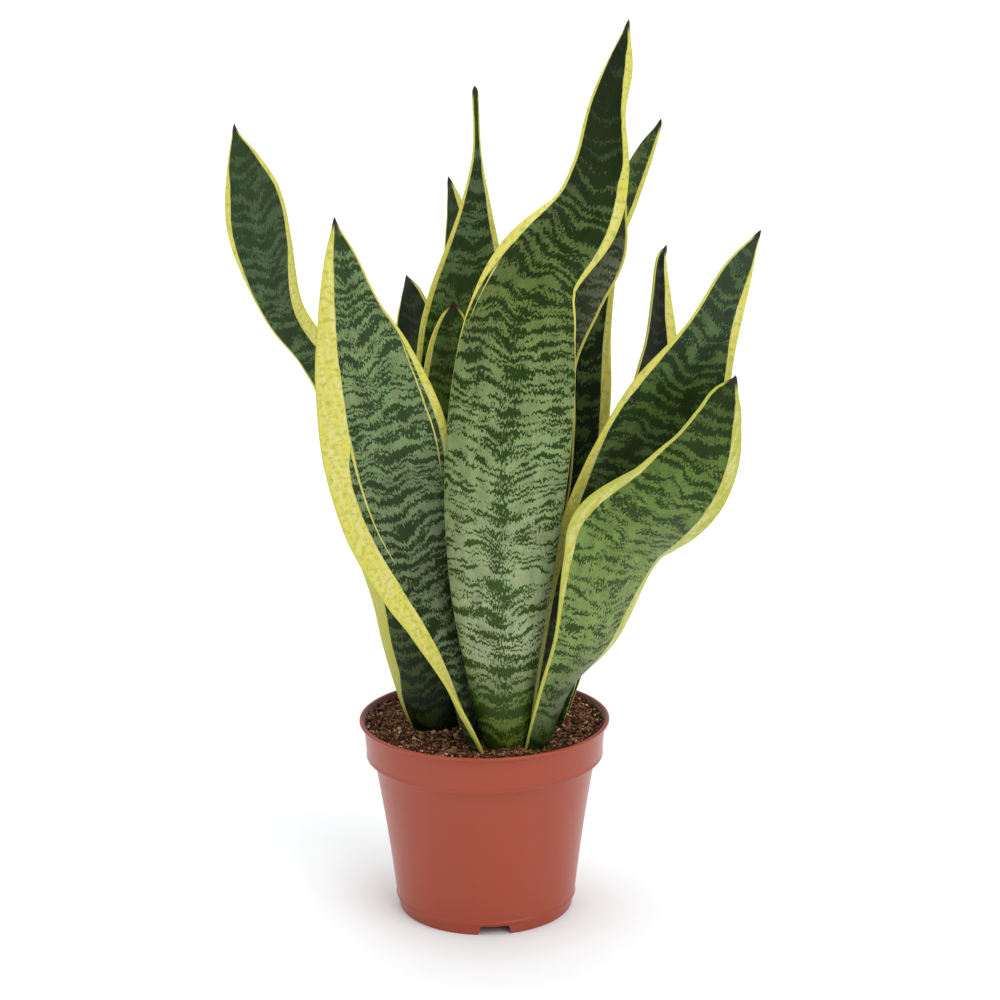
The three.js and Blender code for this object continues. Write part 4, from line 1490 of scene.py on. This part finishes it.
            Station(33.6, -18, 240, 9.8, -30, -20, -20),
            Station(36.4, -19, 270, 7.6, -35, -20, -20),
            Station(44.6, -20, 297, 10.4, -35, -15, -15),
            Station(54.8, -21, 320.5, 11.8, -35, -10, -10),
            Station(60, -22, 339, 6.8, -35, 0, 0),
            Station(62.6, -22, 350, 1.6, -35, 0, 0),
            Station(63, -22, 353, 0.6, -35, 0, 0),
        ),
        left_margin=((91, 0.8), (300, 0.9), (327, 1), (353, 0.5)),
        right_margin=((91, 0.8), (300, 0.9), (327, 1), (353, 0.5)),
        skin=LeafSkin(
            name="leaf_folded_tissue",
            seed=11,
            ground=((91, "#3b412e"), (270, "#606652"), (320, "#686d55"), (353, "#525c3e")),
            mark=((91, "#2a2f1f"), (353, "#3e4631")),
        ),
        cover=((91, 0.3), (300, 0.25), (353, 0.4)),
    ),
    Leaf(
        name="leaf_back_right",
        root_thickness=4,
        wave=Wave(size=0.8, count=2, phase=0.1),
        stations=(
            Station(31, 13, ROOT_LEVEL, 6.5, 10, 30, 30),
            Station(33, 14, 91, 7.7, 15, 30, 30),
            Station(56.4, 26, 165, 11.6, 25, 25, 25),
            Station(71.8, 34, 203.2, 14.8, 32, 20, 20),
            Station(82.2, 42, 247.4, 14.2, 38, 20, 20),
            Station(85, 46, 267.2, 10.7, 40, 20, 20),
            Station(85.7, 48, 287.6, 7.3, 40, 15, 15),
            Station(86.2, 50, 305.8, 4, 40, 10, 10),
            Station(88.4, 52, 312, 1.3, 40, 0, 0),
            Station(89.1, 52, 314.8, 0.6, 40, 0, 0),
        ),
        left_margin=((91, 0.8), (314, 0.6)),
        right_margin=(
            (91, 0.3), (200, 0.8), (235, 5.2), (271, 5.6), (279, 5.8), (287, 4.8), (295, 3.6),
            (303, 3), (311, 1.6), (315, 0.5),
        ),
        skin=LeafSkin(
            name="leaf_back_right_tissue",
            seed=12,
            ground=((91, "#0a1602"), (230, "#162302"), (315, "#293214")),
            mark=((91, "#020502"), (315, "#020e02")),
        ),
        cover=((91, 0.7), (250, 0.7), (315, 0.85)),
    ),
)


# ---- Pot --------------------------------------------------------------------


@dataclass
class Pot:
    """The thin-walled nursery pot, with a lip, a collar and a notched foot ring."""

    height: float = 94.5
    lip_radius: float = 60.0
    lip_depth: float = 1.6
    lip_width: float = 1.6
    collar_radius: float = 57.9
    collar_low_radius: float = 56.7
    collar_bottom: float = 76.3
    bead: float = 0.3  # how far the rolled lower edges of collar and body stand out
    body_top_radius: float = 53.5
    body_foot_radius: float = 43.4
    body_hollow: float = 0.7  # how far the body draws in between
    foot_radius: float = 42.6
    foot_low_radius: float = 42.0
    foot_height: float = 5.5
    foot_wall: float = 2.4
    wall: float = 1.5
    floor_top: float = 7.3
    notch_size: tuple[float, float] = (16.5, 4.4)
    notch_splay: float = 1.6
    notch_corner: float = 0.8
    notch_angles: tuple[float, ...] = (-84.0, 36.0, 156.0)
    notch_reach: float = 6.0  # how far its cutter stands out of the foot ring, both ways
    drain_radius: float = 4.0
    drain_circle: float = 26.0
    drain_count: int = 6
    drain_sides: int = 32
    drain_margin: float = 2.0  # how far its cutter starts below the floor
    drain_depth: float = 6.0
    sides: int = 256
    crease: float = 32.0  # degrees; a sharper edge stays sharp
    finish: PotPlastic = field(default_factory=PotPlastic)

    def side(self, low: float, high: float, inset: float) -> list[tuple[float, float, float]]:
        """Corners up the body's side: a cone that draws in by 4*hollow*s*(1-s).

        Args:
            low: the height of the first corner.
            high: the height of the last corner.
            inset: how far inside the outer surface they lie.

        Returns:
            Radius, height and no rounding for each of nine corners.
        """
        height = np.linspace(low, high, 9)
        share = (height - self.foot_height) / (self.collar_bottom - self.foot_height)
        cone = self.body_foot_radius + (self.body_top_radius - self.body_foot_radius) * share
        radius = cone - 4 * self.body_hollow * share * (1 - share) - inset
        return np.stack([radius, height, 0 * height], -1).tolist()

    def profile(self) -> np.ndarray:
        """The pot's section, from its underside's middle out, up and back inside.

        Each corner below is a radius, a height and a rounding.

        Returns:
            Rows of radius and height.
        """
        lip_bottom = self.height - self.lip_depth
        inside = self.collar_radius - self.wall
        foot_inside = self.foot_low_radius - self.foot_wall
        collar_bead = self.collar_low_radius + self.bead
        body = self.side(self.foot_height + 0.3, self.collar_bottom - 0.8, 0)
        body_foot = body[0][0]
        within = self.side(self.floor_top + 2, self.collar_bottom, self.wall)
        return rounded([
            (0, self.foot_height, 0),
            (foot_inside + 0.6, self.foot_height, 0.6),
            (foot_inside, 0, 0.4),
            (self.foot_low_radius, 0, 0.5),
            (self.foot_radius, self.foot_height, 0.3),
            (body_foot + self.bead, self.foot_height + 0.3, 0.2),
            (body_foot + self.bead, self.foot_height + 1.1, 0.3),
            (body_foot, self.foot_height + 1.7, 0.2),
            *body[1:],
            (self.body_top_radius + 0.3, self.collar_bottom, 0.2),
            (collar_bead, self.collar_bottom, 0.7),
            (collar_bead, self.collar_bottom + 1.3, 0.3),
            (self.collar_low_radius + 0.1, self.collar_bottom + 2.0, 0.3),
            (self.collar_radius, lip_bottom, 0.4),
            (self.lip_radius, lip_bottom, 0.75),
            (self.lip_radius, self.height, 0.75),
            (self.lip_radius - self.lip_width, self.height, 0.7),
            (inside + 1, self.height - 1, 0.4),
            (inside, lip_bottom - 1, 0.6),
            (self.collar_low_radius - self.wall, self.collar_bottom + self.wall, 1.2),
            *within[::-1],
            (within[0][0] - 2, self.floor_top, 1.2),
            (0, self.floor_top, 0),
        ], steps=5)

    def prism(
        self, name: str, outline: np.ndarray, base: Vector, over: Vector, up: Vector, depth: Vector,
    ) -> bpy.types.Object:
        """A closed prism for cutting: an outline swept by one step.

        A corner (p, q) of the outline lies at base + p*over + q*up, and again
        one depth further on.

        Args:
            name: the cutter's name.
            outline: rows of two coordinates, anticlockwise seen against depth.
            base: the outline's own origin.
            over: the direction of its first coordinate.
            up: the direction of its second coordinate.
            depth: from one end to the other.

        Returns:
            The cutter.
        """
        near = np.array(base) + outline[:, :1] * np.array(over) + outline[:, 1:] * np.array(up)
        points = np.concatenate([near, near + np.array(depth)])
        count = len(outline)
        ends = np.stack([np.arange(count)[::-1], count + np.arange(count)])
        return new_piece(name, points, [loop_faces(2, count), ends], smooth=False)

    def cutters(self) -> list[bpy.types.Object]:
        """The shapes of the water notches and the drain holes.

        Returns:
            One cutter for each notch, then one for each hole.
        """
        width, height = self.notch_size
        side, corner = width / 2, self.notch_corner
        top = side - self.notch_splay
        arch = rounded([
            (side, -corner, 0), (top, height, corner), (-top, height, corner), (-side, -corner, 0),
        ])
        east, north, up = Vector((1, 0, 0)), Vector((0, 1, 0)), Vector((0, 0, 1))
        made = []
        for angle in self.notch_angles:
            out = Vector((np.cos(radians(angle)), np.sin(radians(angle)), 0))
            start = out * (self.foot_radius - self.notch_reach)
            depth = out * 2 * self.notch_reach
            made.append(self.prism("notch_cutter", arch, start, Vector((-out.y, out.x, 0)), up, depth))
        turn = np.arange(self.drain_sides) * 2 * pi / self.drain_sides
        ring = self.drain_radius * np.stack([np.cos(turn), np.sin(turn)], -1)
        for i in range(self.drain_count):
            angle = (i + 0.5) * 2 * pi / self.drain_count
            start = Vector((np.cos(angle), np.sin(angle), 0)) * self.drain_circle
            start.z = self.foot_height - self.drain_margin
            made.append(self.prism("drain_cutter", ring, start, east, north, up * self.drain_depth))
        return made

    def build(self) -> bpy.types.Object:
        """Builds the shell, cuts its notches and drains, and dresses it.

        Returns:
            The finished pot.
        """
        pot = turned("pot_shell", self.profile(), self.sides)
        cutters = self.cutters()
        for cutter in cutters:
            cut = pot.modifiers.new(cutter.name, "BOOLEAN")
            cut.operation, cut.solver, cut.object = "DIFFERENCE", "EXACT", cutter
        depsgraph = bpy.context.evaluated_depsgraph_get()
        cut_mesh = bpy.data.meshes.new_from_object(pot.evaluated_get(depsgraph))
        pot.modifiers.clear()
        pot.data = cut_mesh
        for cutter in cutters:
            bpy.data.objects.remove(cutter)
        pot.data.polygons.foreach_set("use_smooth", np.full(len(pot.data.polygons), True))
        pot.data.set_sharp_from_angle(angle=radians(self.crease))
        pot.data.materials.clear()
        pot.data.materials.append(self.finish.build())
        return set_out(pot, "pot_plastic", "pot")


# ---- Soil and rhizome -------------------------------------------------------


SOIL_TINTS = (
    (0.0, "#120802"), (0.25, "#341b0b"), (0.5, "#68432a"), (0.75, "#9c7250"), (1.0, "#dcb98e"),
)

GOLDEN = (1 + 5**0.5) / 2

# The corners and faces of a twenty-sided lump of radius 1.
LUMP_CORNERS = np.array([
    (-1, GOLDEN, 0), (1, GOLDEN, 0), (-1, -GOLDEN, 0), (1, -GOLDEN, 0),
    (0, -1, GOLDEN), (0, 1, GOLDEN), (0, -1, -GOLDEN), (0, 1, -GOLDEN),
    (GOLDEN, 0, -1), (GOLDEN, 0, 1), (-GOLDEN, 0, -1), (-GOLDEN, 0, 1),
]) / np.hypot(1, GOLDEN)
LUMP_FACES = np.array([
    (0, 11, 5), (0, 5, 1), (0, 1, 7), (0, 7, 10), (0, 10, 11),
    (1, 5, 9), (5, 11, 4), (11, 10, 2), (10, 7, 6), (7, 1, 8),
    (3, 9, 4), (3, 4, 2), (3, 2, 6), (3, 6, 8), (3, 8, 9),
    (4, 9, 5), (2, 4, 11), (6, 2, 10), (8, 6, 7), (9, 8, 1),
])


def random_turns(rng: np.random.Generator, count: int) -> np.ndarray:
    """Turns of every kind, equally likely, from random unit quaternions.

    Args:
        rng: the seeded source of chance.
        count: how many turns.

    Returns:
        One matrix of three by three for each.
    """
    quaternion = rng.normal(size=(count, 4))
    w, x, y, z = (quaternion / np.linalg.norm(quaternion, axis=1, keepdims=True)).T
    return np.stack([
        np.stack([1 - 2 * (y * y + z * z), 2 * (x * y - z * w), 2 * (x * z + y * w)], -1),
        np.stack([2 * (x * y + z * w), 1 - 2 * (x * x + z * z), 2 * (y * z - x * w)], -1),
        np.stack([2 * (x * z - y * w), 2 * (y * z + x * w), 1 - 2 * (x * x + y * y)], -1),
    ], 1)


def copied(faces: np.ndarray, corners: int, count: int) -> np.ndarray:
    """The faces of many copies of one shape.

    Args:
        faces: the shape's faces.
        corners: how many points one copy has.
        count: how many copies.

    Returns:
        The faces of them all.
    """
    first = corners * np.arange(count)[:, None, None]
    return (faces[None] + first).reshape(-1, faces.shape[1])


@dataclass
class Soil:
    """The potting mix: an uneven bed, with loose crumbs and fibres lying on it.

    Where a crumb or fibre size has a spread, the sizes are log-normal: the
    middling size times e to the power of the spread times a random number.
    """

    radius: float = 56.0
    mound: float = 1.2
    waves: tuple[tuple[float, float, float, float], ...] = (
        (0.6, 21, 12, 1.1),
        (0.5, 16, 96, 2.3),
        (0.4, 12, 51, 0.4),
    )  # height, spacing, direction in degrees and phase of the ground's swells
    lumps: tuple[tuple[float, float], ...] = ((7.0, 0.55), (3.2, 0.55), (1.5, 0.40))
    wall: tuple[tuple[float, float], ...] = (
        (0, 7.9), (39.7, 7.9), (41.6, 9.9), (45.6, 41.0), (51.4, 76.9), (54.6, 78.5),
    )  # radius and height of its underside and side, just inside the pot
    rings: int = 76
    sides: int = 360
    bed_tint: tuple[float, float] = (0.22, 0.16)  # the middle and the reach of its tints
    bed_patch: float = 2.2  # the size of a patch of one tint

    crumb_count: int = 9400
    crumb_size: float = 0.52  # a middling crumb's radius
    crumb_spread: float = 0.44
    crumb_sizes: tuple[float, float] = (0.24, 1.7)
    crumb_stretch: tuple[float, float] = (0.55, 1.35)
    crumb_dent: tuple[float, float] = (0.72, 1.12)
    crumb_lift: float = 0.25  # how high above the bed a crumb's middle lies, in radii
    crumb_inset: float = 0.7  # how far inside the bed's edge the crumbs stay
    crumb_tint: tuple[float, float] = (0.41, 0.24)  # the mean and the spread of the tints
    bark: tuple[float, float] = (0.05, 0.35)  # the share of pale crumbs, and how much paler
    rim_share: float = 0.13  # of the crumbs, those that lie against the pot's mouth
    rim_fall: float = 1.2
    rim_climb: float = 1.3
    rim_slope: float = 1.2
    rim_lift: float = 0.5
    rim_size: float = 0.75  # beside the other crumbs

    fibre_count: int = 2600
    fibre_steps: int = 5
    fibre_length: float = 3.6
    fibre_spread: float = 0.45
    fibre_lengths: tuple[float, float] = (1.6, 9.0)
    fibre_radius: tuple[float, float] = (0.07, 0.17)
    fibre_tip: float = 0.45  # the radius at its ends, as a share
    fibre_rise: float = 0.16  # radians
    fibre_bend: float = 0.14  # as a share of its length
    fibre_inset: float = 5.5
    fibre_lift: tuple[float, float] = (0.3, 0.9)
    fibre_tint: tuple[float, float] = (0.64, 0.2)
    seed: int = 41

    def height(self, x: np.ndarray, y: np.ndarray) -> np.ndarray:
        """The bed's height: a mound, long swells and three sizes of lumps.

        Args:
            x: across, in millimetres.
            y: towards the back, in millimetres.

        Returns:
            The height above the pot's foot at each point.
        """
        share = np.minimum(1, np.hypot(x, y) / self.radius)
        swell = np.zeros_like(share)
        for tall, spacing, angle, phase in self.waves:
            run = x * np.cos(radians(angle)) + y * np.sin(radians(angle))
            swell += tall * np.sin(2 * pi * run / spacing + phase)
        rough = sum(
            tall * lattice_noise(x + 200, y + 200, cell, self.seed + i)
            for i, (cell, tall) in enumerate(self.lumps)
        )
        return SOIL_LEVEL + self.mound * (1 - share**2) + swell * (1 - share**6) + rough

    def build_bed(self) -> bpy.types.Object:
        """Builds the bed: a turned solid whose top follows the height.

        Returns:
            The bed.
        """
        rings = np.linspace(self.radius, 0, self.rings)
        top = np.stack([rings, np.full(self.rings, SOIL_LEVEL)], -1)
        bed = turned("soil_bed", np.concatenate([np.array(self.wall, float), top]), self.sides)
        mesh = bed.data
        flat = np.empty(len(mesh.vertices) * 3, np.float32)
        mesh.vertices.foreach_get("co", flat)
        points = flat.reshape(-1, 3).astype(float) / MM
        above = points[:, 2] > SOIL_LEVEL - 0.01
        points[above, 2] = self.height(points[above, 0], points[above, 1])
        mesh.vertices.foreach_set("co", (points * MM).astype(np.float32).ravel())
        patches = lattice_noise(points[:, 0] + 90, points[:, 1] + 90, self.bed_patch, self.seed + 9)
        middle, reach = self.bed_tint
        layer = mesh.attributes.new("tint", "FLOAT", "POINT")
        layer.data.foreach_set("value", (middle + reach * patches).astype(np.float32))
        mesh.update()
        mesh.materials.append(PottingMix("damp_coir_bed", SOIL_TINTS).build())
        return set_out(bed, "potting_mix", "soil")

    def scatter(self, rng: np.random.Generator, count: int, reach: float) -> np.ndarray:
        """Random places on the bed, evenly spread over its disc.

        Args:
            rng: the seeded source of chance.
            count: how many places.
            reach: how far from the axis they may lie.

        Returns:
            Rows of x, y and the bed's height.
        """
        radius = reach * np.sqrt(rng.uniform(0, 1, count))
        angle = rng.uniform(0, 2 * pi, count)
        x, y = radius * np.cos(angle), radius * np.sin(angle)
        return np.stack([x, y, self.height(x, y)], -1)

    def build_crumbs(self) -> bpy.types.Object:
        """Builds the crumbs: dented twenty-sided lumps, each turned its own way.

        A crumb's corner is its place + size * turn * (stretch * corner * dent).
        Those of the rim lie in a ring up against the pot's mouth.

        Returns:
            All the crumbs, as one piece.
        """
        rng = np.random.default_rng(self.seed + 20)
        count, corners = self.crumb_count, len(LUMP_CORNERS)
        size = rng.lognormal(np.log(self.crumb_size), self.crumb_spread, count)
        size = np.clip(size, *self.crumb_sizes)
        stretch = rng.uniform(*self.crumb_stretch, (count, 1, 3))
        dent = rng.uniform(*self.crumb_dent, (count, corners, 1))
        turn = random_turns(rng, count)
        place = self.scatter(rng, count, self.radius - self.crumb_inset)
        place[:, 2] += self.crumb_lift * size
        rim = rng.random(count) < self.rim_share
        angle = rng.uniform(0, 2 * pi, count)
        reach = self.radius + rng.uniform(-self.rim_fall, self.rim_climb, count)
        climb = np.maximum(0, reach - self.radius) * self.rim_slope
        level = SOIL_LEVEL + self.rim_lift + climb
        place[rim] = np.stack([reach * np.cos(angle), reach * np.sin(angle), level], -1)[rim]
        size[rim] *= self.rim_size
        shape = LUMP_CORNERS[None] * stretch * dent * size[:, None, None]
        points = place[:, None] + np.einsum("nij,nkj->nki", turn, shape)
        share, paler = self.bark
        tint = rng.normal(*self.crumb_tint, count) + paler * (rng.random(count) < share)
        piece = new_piece("soil_crumbs", points.reshape(-1, 3), [copied(LUMP_FACES, corners, count)],
                          {"tint": np.repeat(np.clip(tint, 0, 1), corners)}, smooth=False)
        piece.data.materials.append(PottingMix("coir_and_bark_crumbs", SOIL_TINTS).build())
        return set_out(piece, "potting_mix")

    def build_fibres(self) -> bpy.types.Object:
        """Builds the coir fibres: thin three-sided threads, each bent one way.

        A thread's middle is place + length*s*way + bend*(1 - 4s^2)*side, with s
        from -1/2 to 1/2, and its three corners stand round it.

        Returns:
            All the fibres, as one piece.
        """
        rng = np.random.default_rng(self.seed + 40)
        count, steps = self.fibre_count, self.fibre_steps
        heading, rise = rng.uniform(0, 2 * pi, count), rng.normal(0, self.fibre_rise, count)
        way = np.stack([np.cos(heading) * np.cos(rise), np.sin(heading) * np.cos(rise), np.sin(rise)], -1)
        side = np.stack([-np.sin(heading), np.cos(heading), 0 * heading], -1)
        up = np.cross(way, side)
        length = rng.lognormal(np.log(self.fibre_length), self.fibre_spread, count)
        length = np.clip(length, *self.fibre_lengths)
        bend = rng.normal(0, self.fibre_bend, count) * length
        radius = rng.uniform(*self.fibre_radius, count)
        place = self.scatter(rng, count, self.radius - self.fibre_inset)
        place[:, 2] += rng.uniform(*self.fibre_lift, count)
        s = np.linspace(-0.5, 0.5, steps)
        middle = (place[:, None] + length[:, None, None] * s[None, :, None] * way[:, None]
                  + bend[:, None, None] * (1 - 4 * s**2)[None, :, None] * side[:, None])
        angle = np.arange(3) * 2 * pi / 3
        taper = (self.fibre_tip + (1 - self.fibre_tip) * np.cos(pi * s))[None, :, None, None]
        star = (np.cos(angle)[None, None, :, None] * side[:, None, None]
                + np.sin(angle)[None, None, :, None] * up[:, None, None])
        points = middle[:, :, None] + radius[:, None, None, None] * taper * star
        corners = 3 * steps
        ends = np.array([(2, 1, 0), (corners - 3, corners - 2, corners - 1)])
        faces = [copied(part, corners, count) for part in (loop_faces(steps, 3), ends)]
        tint = np.clip(rng.normal(*self.fibre_tint, count), 0, 1)
        piece = new_piece("soil_fibres", points.reshape(-1, 3), faces, {"tint": np.repeat(tint, corners)})
        piece.data.materials.append(PottingMix("coir_fibres", SOIL_TINTS, grit=0.5).build())
        return set_out(piece, "potting_mix")


@dataclass
class Rhizome:
    """The underground stem: the CAD solid keeps its shape and gets its skin."""

    finish: RhizomeSkin = field(default_factory=RhizomeSkin)

    def build(self) -> bpy.types.Object:
        """Dresses the CAD node.

        Returns:
            The node.
        """
        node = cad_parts["rhizome"]
        node.data.materials.clear()
        node.data.materials.append(self.finish.build())
        return node


# ---- Studio -----------------------------------------------------------------


class LampRole(Enum):
    """What each soft light is for."""

    KEY = "key"
    FILL = "fill"
    TOP = "top"


@dataclass(frozen=True)
class Lamp:
    """A huge soft box far off: where it stands, how wide it looks and how bright it is."""

    role: LampRole
    azimuth: float  # degrees from +X, anticlockwise from above
    elevation: float
    breadth: float  # degrees across, seen from the plant
    strength: float  # watts per square metre

    def build(self) -> bpy.types.Object:
        """Hangs the light and turns it to the plant.

        Returns:
            The lamp.
        """
        light = bpy.data.lights.new(self.role.value + "_softbox", "SUN")
        light.angle, light.energy = radians(self.breadth), self.strength
        lamp = bpy.data.objects.new(light.name, light)
        around, up = radians(self.azimuth), radians(self.elevation)
        lamp.location = (np.cos(around) * np.cos(up), np.sin(around) * np.cos(up), np.sin(up))
        lamp.rotation_euler = (-lamp.location).to_track_quat("-Z", "Y").to_euler()
        bpy.context.scene.collection.objects.link(lamp)
        return lamp


@dataclass
class Studio:
    """White paper, soft light and the camera at the photograph's angle."""

    lamps: tuple[Lamp, ...] = (
        Lamp(LampRole.KEY, -48.0, 38.0, 50.0, 1.5),
        Lamp(LampRole.FILL, -150.0, 32.0, 60.0, 0.7),
        Lamp(LampRole.TOP, 80.0, 78.0, 60.0, 1.5),
    )
    room: float = 0.12  # the dim studio in front
    backdrop: float = 0.5  # the white wall behind
    backdrop_edge: tuple[float, float] = (-0.2, 0.7)  # how far back it starts and is full
    ceiling: float = 0.8
    ceiling_edge: tuple[float, float] = (0.5, 0.95)  # how far up it starts and is full
    skyline: float = 1.02  # just above the floor's far edge
    skyline_edge: tuple[float, float] = (0.03, 0.16)  # how far up it is full and ends
    floor_size: float = 40.0  # metres
    floor_cells: int = 8
    floor_gap: float = 0.02  # between the pot's foot and the paper
    paper: StudioPaper = field(default_factory=StudioPaper)
    camera_place: tuple[float, float, float] = (0.0082, -0.995, 0.438)
    camera_dip: float = 13.4  # degrees below the level
    camera_roll: float = -0.4
    focal_length: float = 78.5  # millimetres, on a frame this wide
    sensor: float = 36.0

    def build_floor(self) -> bpy.types.Object:
        """Lays a flat grid of paper under the pot.

        Returns:
            The floor.
        """
        cells = self.floor_cells
        line = np.linspace(-0.5, 0.5, cells + 1) * self.floor_size / MM
        x, y = np.meshgrid(line, line)
        points = np.stack([x, y, np.full_like(x, -self.floor_gap)], -1).reshape(-1, 3)
        row, i = np.mgrid[0:cells, 0:cells]
        here = row * (cells + 1) + i
        above = here + cells + 1
        quads = np.stack([here, here + 1, above + 1, above], -1).reshape(-1, 4)
        floor = new_piece("paper_floor", points, [quads], smooth=False)
        floor.data.materials.append(self.paper.build())
        return floor

    def build_world(self) -> bpy.types.World:
        """Lights the room: dim in front, white behind, overhead and at the skyline.

        Returns:
            The world.
        """
        graph = Graph(bpy.data.worlds.new("white_room"))
        way = graph.add("TexCoord", out="Generated")
        back = graph.add("SeparateXYZ", way, out=1)
        up = graph.add("SeparateXYZ", way, out=2)
        wall = graph.add("MapRange", back, *self.backdrop_edge, self.room, self.backdrop,
                         interpolation_type="SMOOTHSTEP")
        above = graph.add("MapRange", up, *self.ceiling_edge, 0.0, self.ceiling,
                          interpolation_type="SMOOTHSTEP")
        skyline = graph.add("MapRange", up, *self.skyline_edge, self.skyline, 0.0,
                            interpolation_type="SMOOTHSTEP")
        strength = graph.add("Math", wall, above, operation="MAXIMUM")
        strength = graph.add("Math", strength, skyline, operation="MAXIMUM")
        sky = graph.add("Background", linear("#ffffff"), strength)
        graph.add("OutputWorld", sky)
        bpy.context.scene.world = graph.owner
        return graph.owner

    def build_camera(self) -> bpy.types.Object:
        """Sets up the camera where the photograph was taken from.

        Returns:
            The camera.
        """
        lens = bpy.data.cameras.new("camera")
        lens.lens, lens.sensor_width = self.focal_length, self.sensor
        camera = bpy.data.objects.new("camera", lens)
        tilt = Matrix.Rotation(radians(90 - self.camera_dip), 4, "X")
        roll = Matrix.Rotation(radians(self.camera_roll), 4, "Z")
        camera.matrix_world = Matrix.Translation(self.camera_place) @ tilt @ roll
        bpy.context.scene.collection.objects.link(camera)
        bpy.context.scene.camera = camera
        return camera

    def build(self) -> None:
        """Builds the floor, the lights, the white surroundings and the camera."""
        self.build_floor()
        for lamp in self.lamps:
            lamp.build()
        self.build_world()
        bpy.context.scene.view_settings.view_transform = "Standard"
        self.build_camera()


# ---- Assembly ---------------------------------------------------------------


def report(piece: bpy.types.Object) -> None:
    """Logs a finished piece and how many faces it has."""
    LOG.info("%s: %d faces", piece.name, len(piece.data.polygons))


def main() -> None:
    logging.basicConfig(level=logging.INFO, format="%(name)s %(message)s")
    soil = Soil()
    for make in (Pot().build, soil.build_bed, soil.build_crumbs, soil.build_fibres, Rhizome().build):
        report(make())
    for leaf in LEAVES:
        report(leaf.build())
    Studio().build()


if __name__ == "__main__":
    main()
